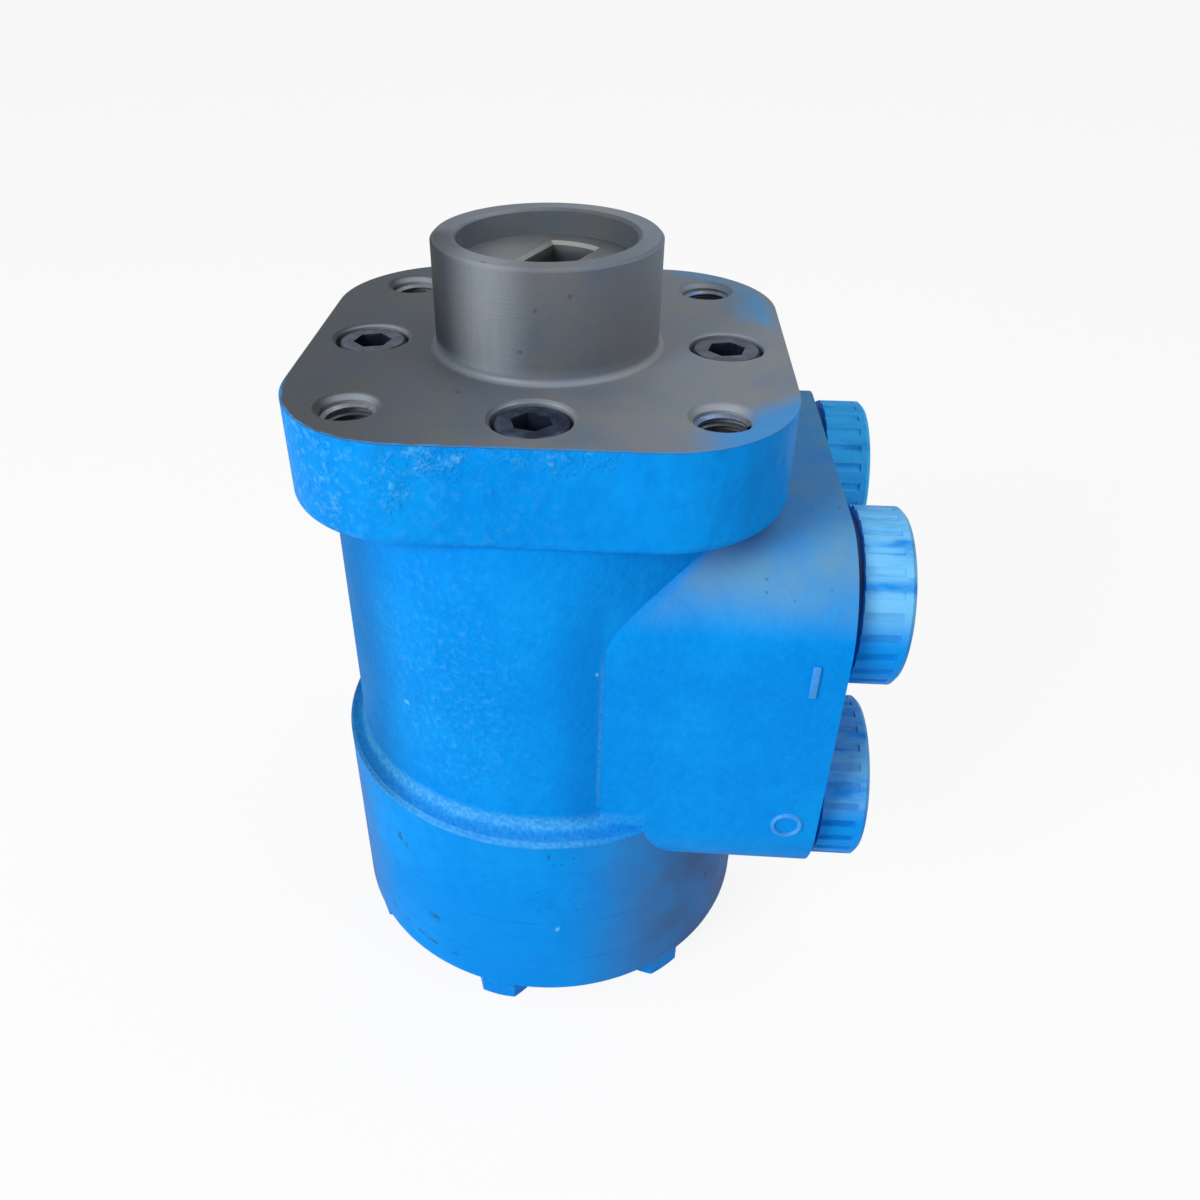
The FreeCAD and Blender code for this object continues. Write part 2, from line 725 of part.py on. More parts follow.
def control_spool():
    spool = ring(spool_r, spool_bore_r, spool_bottom_z, spool_top_z)
    tongue_slot = block(-spool_r - 1, spool_r + 1, -tongue_w / 2 - tongue_clearance,
                        tongue_w / 2 + tongue_clearance, spool_top_z - tongue_h - tongue_clearance,
                        spool_top_z + 1)
    pin_hole_r = pin_r + spool_r * math.sin(math.radians(spool_swing)) + pin_clearance
    pin_hole = Part.makeCylinder(pin_hole_r, 4 * spool_r, V(0, -2 * spool_r, pin_z), V(0, 1, 0))
    groove = Part.makeCylinder(spool_groove_r, spool_groove_high_z - spool_groove_low_z,
                               V(spool_r + spool_groove_r / 2, 0, spool_groove_low_z), UP)
    cuts = [tongue_slot, spring_slot(), pin_hole]
    cuts += circle_of(groove, meter_holes, 30)
    for z in (spool_groove_high_z, spool_groove_low_z):
        half_w = spool_ring_groove_w / 2
        cuts.append(ring(spool_r + 1, spool_r - spool_groove_r / 2, z - half_w, z + half_w))
    return spool.cut(cuts)


def spring_slot():
    half_h = leaf_h / 2 + leaf_slot_room
    reach = sleeve_outer_r + 1
    return block(-reach, reach, -leaf_slot_w / 2, leaf_slot_w / 2,
                 spring_slot_z - half_h, spring_slot_z + half_h)


def control_sleeve():
    bottom = casting_bottom_z + sleeve_end_clearance
    sleeve = ring(sleeve_outer_r, sleeve_inner_r, bottom, sleeve_top_z)
    reach = sleeve_outer_r + 1
    pin_hole = Part.makeCylinder(pin_r + pin_clearance, 2 * reach, V(0, -reach, pin_z), V(0, 1, 0))
    meter = Part.makeCylinder(meter_hole_r, reach, V(0, 0, 0), OUT)
    cuts = [spring_slot(), pin_hole]
    for index in range(4):
        row = meter.copy()
        row.translate(V(0, 0, gallery_level(index)))
        start = 30 if index % 2 else 0
        cuts += circle_of(row, meter_holes, start)
    return sleeve.cut(cuts)


def cross_pin():
    half = math.sqrt(sleeve_outer_r ** 2 - pin_r ** 2) - pin_end_room
    return Part.makeCylinder(pin_r, 2 * half, V(0, -half, pin_z), V(0, 1, 0))


def spring_ring():
    low = spring_slot_z - spring_ring_h / 2
    return ring(spring_ring_r, spring_ring_r - spring_ring_t, low, low + spring_ring_h)


def bowed_leaf(inner_mid_y):
    """Curved leaf of the centring spring pack, bowed outwards in the middle."""
    half = sleeve_outer_r - leaf_end_room
    end_y = inner_mid_y - leaf_bow
    low = spring_slot_z - leaf_h / 2
    inner = Part.Arc(V(-half, end_y, low), V(0, inner_mid_y, low), V(half, end_y, low)).toShape()
    outer = Part.Arc(V(-half, end_y + leaf_t, low), V(0, inner_mid_y + leaf_t, low),
                     V(half, end_y + leaf_t, low)).toShape()
    ends = [Part.makeLine(V(s * half, end_y, low), V(s * half, end_y + leaf_t, low)) for s in (-1, 1)]
    wire = Part.Wire(Part.__sortEdges__([inner, outer] + ends))
    return Part.Face(wire).extrude(V(0, 0, leaf_h))


def leaf_springs():
    half = sleeve_outer_r - leaf_end_room
    low = spring_slot_z - leaf_h / 2
    flats = [block(-half, half, 0, leaf_t, low, low + leaf_h),
             block(-half, half, -leaf_t, 0, low, low + leaf_h)]
    outer_mid = leaf_slot_w / 2 - leaf_t - leaf_slot_room
    leaves = [bowed_leaf(outer_mid), bowed_leaf(outer_mid - leaf_t)]
    return flats + leaves + [turned_copy(leaf, 180) for leaf in leaves]


# Drive shaft and what it rests on

def spline_teeth_bars(z_low, z_high):
    half = spline_tooth_w / 2
    bar = block(spline_root_r / 2, spline_tip_r, -half, half, z_low, z_high)
    return circle_of(bar, spline_teeth, stack_turn)


def drive_shaft():
    """Fork end on the cross pin, slim shaft, and crowned splines in the rotor."""
    spline_top = rotor_mid_z + spline_l / 2
    spline_low = rotor_mid_z - spline_l / 2
    head = cylinder(shaft_head_r, pin_z - shaft_head_low, pin_z + shaft_head_top)
    shaft = cylinder(shaft_r, spline_top, pin_z - shaft_head_low)
    core = cylinder(spline_root_r, spline_low, spline_top)
    shape = head.fuse([shaft, core] + spline_teeth_bars(spline_low, spline_top)).removeSplitter()
    half_slot = pin_r + fork_clearance
    slot = block(-half_slot, half_slot, -shaft_head_r - 1, shaft_head_r + 1,
                 pin_z - fork_depth, pin_z + shaft_head_top + 1)
    shape = shape.cut(slot)
    lean = V(-rotor_centre.y, rotor_centre.x, 0)
    shape.rotate(V(0, 0, pin_z), lean, -shaft_tilt)
    return shape


def limit_post():
    low = gear_bottom_z + post_clearance
    post = cylinder(post_r, low, low + post_h, rotor_centre.x, rotor_centre.y)
    upper = edges_where(post, lambda e: e.BoundBox.ZMin > low + post_h - 0.01)
    return post.makeFillet(post_edge_r, upper)


# Check valve

def check_ball():
    return Part.makeSphere(check_ball_r, V(check_x, check_y, ball_z))


def check_bushing():
    bushing = cylinder(bushing_r, check_ceiling_z(), cover_bottom_z - bushing_sink, check_x, check_y)
    return bushing.cut(hexagon(bushing_hex, check_ceiling_z() - 1, cover_bottom_z, check_x, check_y))


save("front_cover", front_cover())
save("column_boss", column_boss())
save_group("cover_screws", circle_of(cap_screw(), 4))
save("valve_body", valve_body())
for port_name, (port_y, port_z) in port_centres().items():
    save("port_plug_" + port_name, port_plug(port_y, port_z))
save_group("plug_seals", [plug_seal(port_y, port_z) for port_y, port_z in port_centres().values()])
save("spacer_plate", spacer_plate())
save("stator_ring", stator_ring())
save("rotor", rotor())
save("end_cover", end_cover())
save_group("end_cover_bolts", circle_of(end_cover_bolt(), stator_teeth, stack_turn))
save_group("bolt_washers", circle_of(bolt_washer(), stator_teeth, stack_turn))
save("cover_o_ring", round_ring(cover_seal_circle_r, cover_bottom_z - o_ring_r))
save("spacer_o_ring", round_ring(lower_seal_circle_r, casting_bottom_z + o_ring_r))
save("stator_o_ring", round_ring(lower_seal_circle_r, spacer_bottom_z - o_ring_r))
save("end_cover_o_ring", round_ring(lower_seal_circle_r, gear_bottom_z + o_ring_r))
save("connecting_block", connecting_block())
save("dust_ring", dust_ring())
save("shaft_seal", shaft_seal())
save("bearing_race_upper", race(race_top_z - race_t))
save("bearing_race_lower", race(cage_bottom_z - race_t))
save("bearing_cage", bearing_cage())
save_group("bearing_needles", circle_of(needle(), needle_count))
save("control_spool", control_spool())
save("control_sleeve", control_sleeve())
save("cross_pin", cross_pin())
save("spring_ring", spring_ring())
save_group("leaf_springs", leaf_springs())
save("drive_shaft", drive_shaft())
save("limit_post", limit_post())
save("check_ball", check_ball())
save("check_bushing", check_bushing())
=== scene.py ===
import math

import bmesh
import bpy
from mathutils import Euler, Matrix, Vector


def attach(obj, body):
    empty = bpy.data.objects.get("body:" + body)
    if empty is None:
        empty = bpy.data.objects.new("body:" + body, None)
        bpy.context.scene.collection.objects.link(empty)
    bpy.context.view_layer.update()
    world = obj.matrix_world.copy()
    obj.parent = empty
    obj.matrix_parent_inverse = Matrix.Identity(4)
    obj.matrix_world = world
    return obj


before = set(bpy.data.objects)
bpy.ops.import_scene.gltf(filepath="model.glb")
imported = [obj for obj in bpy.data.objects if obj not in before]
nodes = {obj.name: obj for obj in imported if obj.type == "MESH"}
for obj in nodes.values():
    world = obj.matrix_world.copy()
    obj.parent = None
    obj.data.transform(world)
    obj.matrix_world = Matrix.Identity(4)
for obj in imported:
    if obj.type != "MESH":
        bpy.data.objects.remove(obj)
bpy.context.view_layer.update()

scene = bpy.context.scene
mm = 0.001
print("frame loaded,", len(nodes), "parts")


# Shader arithmetic: a wire is one socket of a material, and plain sums on it add the nodes.

class Wire:
    def __init__(self, tree, socket=None):
        self.tree = tree
        self.socket = socket

    def node(self, kind, settings=None, values=None, output=0):
        made = self.tree.nodes.new("ShaderNode" + kind)
        for key, value in (settings or {}).items():
            setattr(made, key, value)
        for key, value in (values or {}).items():
            if isinstance(value, Wire):
                self.tree.links.new(value.socket, made.inputs[key])
            else:
                made.inputs[key].default_value = value
        return Wire(self.tree, made.outputs[output]) if made.outputs else None

    def maths(self, operation, first, second=0.0):
        return self.node("Math", {"operation": operation}, {0: first, 1: second})

    def __add__(self, other):
        return self.maths("ADD", self, other)

    __radd__ = __add__

    def __sub__(self, other):
        return self.maths("SUBTRACT", self, other)

    def __rsub__(self, other):
        return self.maths("SUBTRACT", other, self)

    def __mul__(self, other):
        return self.maths("MULTIPLY", self, other)

    __rmul__ = __mul__

    def __pow__(self, other):
        return self.maths("POWER", self, other)

    def larger(self, other):
        return self.maths("MAXIMUM", self, other)

    def away(self, middle=0.0):
        # the distance from a value, on either side of it
        return self.maths("ABSOLUTE", self - middle)

    def ramp(self, low, high):
        # 0 at low and 1 at high with a soft run between; low may be the larger of the two
        ends = {"From Min": low, "From Max": high} if low < high else {
            "From Min": high, "From Max": low, "To Min": 1.0, "To Max": 0.0}
        return self.node("MapRange", {"interpolation_type": "SMOOTHSTEP"}, {"Value": self, **ends})


def tint(red, green, blue):
    # a screen colour of 0 to 255, as the linear colour that a shader takes
    linear = []
    for part in (red / 255, green / 255, blue / 255):
        linear.append(part / 12.92 if part < 0.0404 else ((part + 0.055) / 1.055) ** 2.4)
    return (*linear, 1.0)


def startMaterial(name):
    material = bpy.data.materials.new(name)
    material.use_nodes = True
    material.node_tree.nodes.clear()
    return material, Wire(material.node_tree)


def finishMaterial(paint, values, height=None):
    # height is a wire in millimetres
    if height is not None:
        bump = paint.node("Bump", {}, {"Height": height, "Distance": mm, "Strength": 1.0})
        values = {**values, "Normal": bump}
    shader = paint.node("BsdfPrincipled", {}, values)
    paint.node("OutputMaterial", {}, {"Surface": shader})


def axes(paint, vector):
    # its X, Y and Z
    return [paint.node("SeparateXYZ", {}, {0: vector}, axis) for axis in range(3)]


def place(paint):
    # where a point is on the part, in millimetres
    coords = paint.node("TexCoord", output="Object")
    return paint.node("VectorMath", {"operation": "SCALE"}, {0: coords, "Scale": 1 / mm})


def facing(paint):
    # which way the surface faces: X, Y and Z of its normal
    return axes(paint, paint.node("TexCoord", output="Normal"))


def distance(first, second):
    return (first ** 2 + second ** 2) ** 0.5


def noise(paint, spot, grain, detail=3.0, roughness=0.55):
    # grain is the size of one lump in millimetres; the answer lies about 0.5
    values = {"Vector": spot, "Scale": 1 / grain, "Detail": detail, "Roughness": roughness}
    return paint.node("TexNoise", {"noise_dimensions": "3D"}, values)


def turnedNoise(paint, radius, z, grain):
    # fine rings about the upright axis, as a lathe leaves them
    rings = paint.node("CombineXYZ", {}, {0: radius, 2: z})
    return noise(paint, rings, grain, 2.0)


def cells(paint, spot, grain):
    return paint.node("TexVoronoi", {"feature": "F1"}, {"Vector": spot, "Scale": 1 / grain})


def stretched(paint, spot, stretch):
    return paint.node("VectorMath", {"operation": "MULTIPLY"}, {0: spot, 1: stretch})


def mixed(paint, share, first, second, blend="MIX"):
    # 0, 6 and 7 are the factor and the two colours of a Mix node, and 2 is its colour result
    settings = {"data_type": "RGBA", "blend_type": blend, "clamp_factor": True}
    return paint.node("Mix", settings, {0: share, 6: first, 7: second}, 2)


def toned(paint, colour, level):
    # a colour made darker or lighter by a wire of about 1
    grey = paint.node("CombineColor", {}, {0: level, 1: level, 2: level})
    return mixed(paint, 1.0, colour, grey, "MULTIPLY")


def layered(paint, colour, layers):
    # a colour with other tones laid over it in turn, each where its share says
    for share, tone in layers:
        colour = mixed(paint, share, colour, tint(*tone))
    return colour


def united(masks):
    total = masks[0]
    for mask in masks[1:]:
        total = total.larger(mask)
    return total


def blob(paint, spot, centre, radius, soft, stretch, ragged=None):
    offset = paint.node("VectorMath", {"operation": "SUBTRACT"}, {0: spot, 1: centre})
    away = paint.node("VectorMath", {"operation": "LENGTH"}, {0: stretched(paint, offset, stretch)}, "Value")
    if ragged is not None:
        away = away + ragged * radius
    return away.ramp(radius * (1 + soft), radius * (1 - soft))


def blobs(paint, spot, centres, torn=4.0):
    # small marks, each a centre, a radius and a stretch, with torn edges
    ragged = (noise(paint, spot, 0.9) - 0.5) * torn
    return united([blob(paint, spot, centre, radius, 0.45, stretch, ragged)
                   for centre, radius, stretch in centres])


def cover(material, *names):
    for name in names:
        slots = nodes[name].data.materials
        for index in range(len(slots)):
            slots[index] = material
        if not len(slots):
            slots.append(material)


# Blue enamel on the castings. In the lists of looks places and grains are in millimetres, and a
# pair of numbers is a soft edge: nothing at the first and all at the second.

enamel = {
    "blue": (0, 136, 224),
    "light": (8, 154, 238),
    "deep": (0, 118, 204),
    "dust": (102, 152, 184),
    "grimeAndShade": (78, 98, 132),
    "chip": (38, 84, 112),
    "fleckAndHighlight": (96, 184, 240),
    "bareDark": (84, 86, 90),
    "bareLight": (122, 124, 128),
    "cloudGrain": 26.0,
    "fineGrain": 3.4,
    "bareGrain": 1.2,
    "dirtGrain": 14.0,
    "roughness": 0.5,
    "gloss": 0.04,
}


def enamelColour(paint, spot, share=0.5):
    cloud = noise(paint, spot, enamel["cloudGrain"]).ramp(0.35, 0.7)
    fine = noise(paint, spot, enamel["fineGrain"], 4.0).ramp(0.62, 0.3)
    return layered(paint, tint(*enamel["blue"]), (
        (cloud * share, enamel["light"]),
        (fine * share * 0.5, enamel["deep"]),
    ))


def dirtCloud(paint, spot):
    return noise(paint, spot, enamel["dirtGrain"], 5.0).ramp(0.3, 0.65)


def finishEnamel(paint, colour, height, roughness):
    values = {"Base Color": colour, "Roughness": roughness, "Specular IOR Level": enamel["gloss"]}
    finishMaterial(paint, values, height)


def bared(paint, colour, inside):
    # machined iron where the spray didn't reach
    grain = noise(paint, place(paint), enamel["bareGrain"])
    metal = mixed(paint, grain, tint(*enamel["bareDark"]), tint(*enamel["bareLight"]))
    return mixed(paint, inside, colour, metal)


bodyPaint = {
    "roundR": (59.1, 58.7),         # the casting is round inside this, and the port block lies past it
    "frontY": (10.0, -20.0),
    "boreR": (50.6, 50.2),
    "castEndZ": (-111.5, -110.5),   # the cast skin above, the turned barrel below
    "ledgeTopZ": (-103.0, -106.0),  # the sand-rough ledge above the barrel, with a groove and a lip
    "ledgeEndZ": (-111.3, -110.5),
    # the painted light on the ledge fades out to the right
    "ledgeLightFadeX": (34.0, 4.0),
    "ledgeWander": 1.2,
    "wanderGrain": 5.0,
    "sandGrain": 1.1,
    "grooveZ": -108.6,
    "grooveWidth": (1.4, 0.2),
    "lipZ": -109.8,
    "lipWidth": (1.6, 0.3),
    "topFacing": (0.2, 0.85),       # dust and specks on top of the port block
    "topR": (53.0, 57.0),
    "topZ": (-60.0, -45.0),
    "speckGrain": 3.2,
    "speckReach": (0.15, 0.07),
    "speckPatch": 6.0,
    "cornerX": (2.0, 13.0),         # painted shade in a strip, and a painted highlight along the crease, where the cylinder meets the block
    "cornerEndX": (17.5, 15.5),
    "cornerZ": (-108.0, -103.0),
    "cornerTopZ": (-28.0, -50.0),
    "creaseX": 16.2,
    "creaseWidth": (0.9, 0.1),
    "creaseZ": (-106.0, -96.0),
    "creaseTopZ": (-50.0, -60.0),
    "shadeAndGrimeRightX": (6.0, 44.0),     # darker down the barrel's two sides and towards the foot of the port block: painted shade, with some old dirt
    "shadeAndGrimeLeftX": (-41.0, -58.0),
    "shadeAndGrimeLeftY": (40.0, 0.0),
    "shadeAndGrimeLeftZ": (-110.0, -118.0),
    "underX": (20.0, 36.0),
    "underZ": (-118.0, -128.0),
    "pitGrain": 1.9,
    "pitReach": (0.19, 0.08),
    "pitPatch": 9.0,
    "pitRightX": (34.0, 14.0),
    "pitLeftX": (-24.0, -8.0),
    "paintedShadeX": (-28.0, -46.0),        # painted shade: the casting is darker at its left side
    "paintedShadeY": (30.0, 5.0),
    "paintedShadeShare": 0.38,
    "peelGrain": 1.4,
    "swellGrain": 30.0,
    "lumpGrain": 1.7,               # coarse lumps, most of them round one place, where their peaks are painted light as glints
    "lumpCentre": (-22.0, -48.0, -66.0),
    "lumpReach": 15.0,
    "lumpSoft": 0.9,
    "lumpStretch": (1, 1, 0.5),
    "chips": [((-37.7, -44.9, -124.1), 0.75, (1, 1, 0.55)), ((-35.6, -46.6, -126.0), 0.5, (1, 1, 0.5)),
              ((4.4, -58.5, -114.0), 0.3, (1, 1, 0.35))],
    "flecks": [((-31.9, -43.8, -76.6), 0.6, (0.6, 0.6, 1)), ((15.1, -52.1, -58.5), 0.35, (1, 1, 1))],
}


def bodyLedge(paint, spot, z, onRound):
    # the ledge, its groove and its lip, on a level that wanders a little
    level = z + (noise(paint, spot, bodyPaint["wanderGrain"]) - 0.5) * bodyPaint["ledgeWander"]
    ledge = level.ramp(*bodyPaint["ledgeTopZ"]) * level.ramp(*bodyPaint["ledgeEndZ"]) * onRound
    groove = level.away(bodyPaint["grooveZ"]).ramp(*bodyPaint["grooveWidth"]) * ledge
    lip = level.away(bodyPaint["lipZ"]).ramp(*bodyPaint["lipWidth"]) * onRound
    return ledge, groove, lip


def bodyShadeAndGrime(x, y, z, barrel, onRound, cloudy):
    # painted shade with some dirt: the barrel's right side, its left edge, and the foot of the port block
    right = barrel * x.ramp(*bodyPaint["shadeAndGrimeRightX"]) * 0.8
    left = barrel * x.ramp(*bodyPaint["shadeAndGrimeLeftX"]) * z.ramp(*bodyPaint["shadeAndGrimeLeftZ"]) \
        * y.ramp(*bodyPaint["shadeAndGrimeLeftY"]) * 0.6
    under = (1 - onRound) * z.ramp(*bodyPaint["underZ"]) * x.ramp(*bodyPaint["underX"]) * 0.75
    return united([right, left, under]) * (0.55 + cloudy * 0.45)


def bodyCorner(x, z, front):
    # painted shade in a strip beside the port block, and a painted highlight along the crease between them
    strip = x.ramp(*bodyPaint["cornerX"]) * x.ramp(*bodyPaint["cornerEndX"]) \
        * z.ramp(*bodyPaint["cornerZ"]) * z.ramp(*bodyPaint["cornerTopZ"]) * front
    crease = x.away(bodyPaint["creaseX"]).ramp(*bodyPaint["creaseWidth"]) \
        * z.ramp(*bodyPaint["creaseZ"]) * z.ramp(*bodyPaint["creaseTopZ"])
    return strip, crease * front


def bodySpecks(paint, spot, onTop):
    patches = noise(paint, spot, bodyPaint["speckPatch"]).ramp(0.5, 0.6)
    specks = cells(paint, spot, bodyPaint["speckGrain"]).ramp(*bodyPaint["speckReach"])
    return specks * onTop * patches


def bodyPits(paint, spot, x, barrel):
    patches = noise(paint, spot, bodyPaint["pitPatch"], 2.0).ramp(0.48, 0.6)
    pits = cells(paint, spot, bodyPaint["pitGrain"]).ramp(*bodyPaint["pitReach"]) * patches
    return pits * barrel * x.ramp(*bodyPaint["pitRightX"]) * x.ramp(*bodyPaint["pitLeftX"])


def paintBody():
    material, paint = startMaterial("castBodyEnamel")
    spot = place(paint)
    x, y, z = axes(paint, spot)
    radius = distance(x, y)
    front = y.ramp(*bodyPaint["frontY"])
    onRound = radius.ramp(*bodyPaint["roundR"])
    cast = z.ramp(*bodyPaint["castEndZ"]).larger(1 - onRound)
    barrel = 1 - cast
    onTop = facing(paint)[2].ramp(*bodyPaint["topFacing"]) * radius.ramp(*bodyPaint["topR"]) \
        * z.ramp(*bodyPaint["topZ"])
    ledge, groove, lip = bodyLedge(paint, spot, z, onRound)
    strip, crease = bodyCorner(x, z, front)
    pits = bodyPits(paint, spot, x, barrel)
    chips = blobs(paint, spot, bodyPaint["chips"])
    lumps = noise(paint, spot, bodyPaint["lumpGrain"], 2.0, 0.5)
    lumpy = blob(paint, spot, bodyPaint["lumpCentre"], bodyPaint["lumpReach"], bodyPaint["lumpSoft"],
                 bodyPaint["lumpStretch"])
    sandy = noise(paint, spot, bodyPaint["sandGrain"], 4.0).ramp(0.36, 0.62)
    cloudy = dirtCloud(paint, spot)
    dusty = onTop * (0.45 + 0.45 * cloudy)
    # painted light on the ledge and its lip, which face up, strongest at the front and to the left
    paintedLedgeLight = (ledge * (0.3 + sandy * 0.6) * (1 - groove * 0.6)).larger(lip * (0.4 + sandy * 0.4))
    paintedLedgeLight = paintedLedgeLight * x.ramp(*bodyPaint["ledgeLightFadeX"]) * (0.35 + front * 0.65)
    colour = layered(paint, enamelColour(paint, spot), (
        # painted glints on the lumps' peaks
        (lumps.ramp(0.5, 0.8) * (0.02 + lumpy * 0.22) * cast, enamel["fleckAndHighlight"]),
        # painted light on the ledge and its lip
        (paintedLedgeLight * 0.7, enamel["fleckAndHighlight"]),
        # painted shade in the groove
        (groove * 0.25, enamel["deep"]),
        # painted shade in the strip beside the port block
        (strip * 0.55, enamel["deep"]),
        # a painted highlight along the crease
        (crease * (0.05 + sandy * 0.16), enamel["fleckAndHighlight"]),
        (dusty, enamel["dust"]),
        # painted shade with some dirt down the barrel's sides
        (bodyShadeAndGrime(x, y, z, barrel, onRound, cloudy), enamel["grimeAndShade"]),
        (bodySpecks(paint, spot, onTop) * 0.6, enamel["chip"]),
        (pits * 0.6, enamel["deep"]),
        (chips * 0.7, enamel["chip"]),
        (blobs(paint, spot, bodyPaint["flecks"]) * 0.8, enamel["fleckAndHighlight"]),
    ))
    # painted shade darkens the casting's left side
    dark = cast * x.ramp(*bodyPaint["paintedShadeX"]) * y.ramp(*bodyPaint["paintedShadeY"])
    colour = toned(paint, colour, 1 - dark * bodyPaint["paintedShadeShare"])
    colour = bared(paint, colour, radius.ramp(*bodyPaint["boreR"]))
    peel = noise(paint, spot, bodyPaint["peelGrain"], 2.0, 0.5)
    height = cast * (peel * (0.14 + lumpy * 0.2) + lumps * (0.2 + lumpy * 0.55)) * (1 - onTop * 0.6) \
        + ledge * sandy * 0.1 + barrel * (peel * 0.1 - pits * 0.2) - chips * 0.12 \
        + noise(paint, spot, bodyPaint["swellGrain"], 1.0) * 0.8
    finishEnamel(paint, colour, height, enamel["roughness"] + cloudy * 0.08 + dusty * 0.3)
    return material


stackPaint = {
    "seamsZ": (-136.0, -141.0, -157.0),
    "seamHalf": 0.45,
    "seamSoft": 0.05,
    "seamWander": 0.5,
    "wanderGrain": 7.0,
    "seamPatch": 12.0,
    "shadeAndGrimeRightX": (6.0, 44.0),
    "shadeAndGrimeLeftX": (-38.0, -56.0),
    "shadeAndGrimeLeftY": (40.0, 0.0),
    "insideR": (56.0, 55.6),
    "insideZ": (-169.6, -169.2),
    "peelGrain": 1.6,
    "swellGrain": 26.0,
    "chips": [((-43.5, -39.3, -160.9), 0.45, (0.45, 0.45, 1)), ((-38.8, -44.0, -161.4), 0.4, (0.5, 0.5, 1)),
              ((-33.8, -47.9, -161.9), 0.5, (0.4, 0.4, 1)), ((-30.4, -50.1, -162.4), 0.55, (0.35, 0.35, 1)),
              ((-23.4, -53.7, -162.9), 0.4, (0.4, 0.4, 1)), ((47.6, -34.2, -145.6), 0.45, (1, 1, 0.5)),
              ((-28.8, -51.1, -150.0), 1.15, (0.7, 0.7, 1))],
    "flecks": [((6.4, -58.3, -142.9), 0.55, (1, 1, 0.7))],
}


def stackSeams(paint, spot, z):
    # the painted-over joints between the plates, broken here and there
    half, soft = stackPaint["seamHalf"], stackPaint["seamSoft"]
    seams = []
    for level in stackPaint["seamsZ"]:
        wander = (noise(paint, spot, stackPaint["wanderGrain"]) - 0.5) * stackPaint["seamWander"]
        wave = z - level + wander
        seams.append(wave.ramp(-half, -soft) * wave.ramp(half, soft))
    return united(seams) * noise(paint, spot, stackPaint["seamPatch"], 2.0).ramp(0.42, 0.62)


def paintStack():
    material, paint = startMaterial("gearStackEnamel")
    spot = place(paint)
    x, y, z = axes(paint, spot)
    seams = stackSeams(paint, spot, z)
    chips = blobs(paint, spot, stackPaint["chips"])
    cloudy = dirtCloud(paint, spot)
    # painted shade with some dirt, down the right side and at the left edge
    left = x.ramp(*stackPaint["shadeAndGrimeLeftX"]) * y.ramp(*stackPaint["shadeAndGrimeLeftY"]) * 0.75
    grimeAndShade = x.ramp(*stackPaint["shadeAndGrimeRightX"]).larger(left) * (0.5 + cloudy * 0.3)
    colour = layered(paint, enamelColour(paint, spot, 0.4), (
        (grimeAndShade, enamel["grimeAndShade"]),
        (seams * 0.45, enamel["deep"]),
        (chips * 0.7, enamel["chip"]),
        (blobs(paint, spot, stackPaint["flecks"]) * 0.9, enamel["fleckAndHighlight"]),
    ))
    inside = distance(x, y).ramp(*stackPaint["insideR"]) * z.ramp(*stackPaint["insideZ"])
    colour = bared(paint, colour, inside)
    height = noise(paint, spot, stackPaint["peelGrain"], 2.0) * 0.12 \
        + noise(paint, spot, stackPaint["swellGrain"], 1.0) * 0.6 - chips * 0.12 - seams * 0.1
    finishEnamel(paint, colour, height, enamel["roughness"] + cloudy * 0.08)
    return material


# Front cover: bare machined iron on top and round the boss, enamel on its cast sides

iron = {
    "grey": (86, 96, 108),
    "warm": (98, 101, 104),
    "dark": (50, 55, 62),
    "highlightTone": (150, 158, 166),
    "rust": (84, 58, 56),
    "roughness": 0.55,
    "metallic": 0.35,
    "cloudGrain": 16.0,
    "grain": 1.2,
    "fineGrain": 0.7,
    "ringGrain": 0.35,
    "streakGrain": 1.6,
    "streakStretch": (1, 1, 0.15),
    "paintedLightX": (-50.0, 26.0),        # painted light: the face grows lighter from left to right
    "sheenX": -10.8,                # a painted highlight, a light band down the front of the boss
    "sheenWidth": (11.0, 0.5),
    "sheenY": (-10.0, -16.0),
    "sheenZ": (0.8, 2.5),
    "bossY": (4.0, -4.0),
    "bossZ": (1.5, 4.0),
    "bossLeftX": (-13.0, -29.0),
    "bossRightX": (12.0, 27.0),
    "rimZ": (24.5, 24.9),
    "rimLeftX": (-8.0, -22.0),
    "rimRightX": (6.0, 22.0),
    "boreR": (21.6, 20.9),
    "boreZ": (-0.5, 1.0),
    "boreLeftX": (-6.0, -16.0),
    "boreRightX": (-14.0, 10.0),
    "footZ": (1.6, 0.5),            # a painted highlight along the fillet at the foot of the boss
    "footEndZ": (-0.05, 0.2),
    "footR": (30.0, 28.6),
    "footX": (-26.0, -4.0),
    "deepZ": (-4.0, -9.0),          # painted shade, darker down in the holes
    "sinkZ": (-0.1, -0.6),          # painted light on the walls of the screws' sinks that face the front
    "sinkEndZ": (-7.0, -3.0),
    "sinkR": (33.0, 35.0),
    "sinkFacing": (-0.1, -0.7),
    "spots": [((6.7, -25.3, 19.4), 0.45, (1, 1, 0.8)), ((-0.5, -26.1, 16.6), 0.4, (1, 1, 0.8)),
              ((-3.8, -25.9, 7.5), 0.5, (0.8, 1, 1)), ((-16.8, -30.4, 0.0), 0.6, (1, 1, 1)),
              ((-11.5, -22.0, 25.1), 0.5, (0.7, 1, 1)), ((14.0, 22.4, 25.1), 0.6, (0.6, 1, 1))],
    "spotTorn": 1.2,
}


def ironLightLevel(paint, spot, x):
    # painted light across the face, with random tone
    return 0.57 + x.ramp(*iron["paintedLightX"]) * 1.08 + noise(paint, spot, iron["grain"]) * 0.2


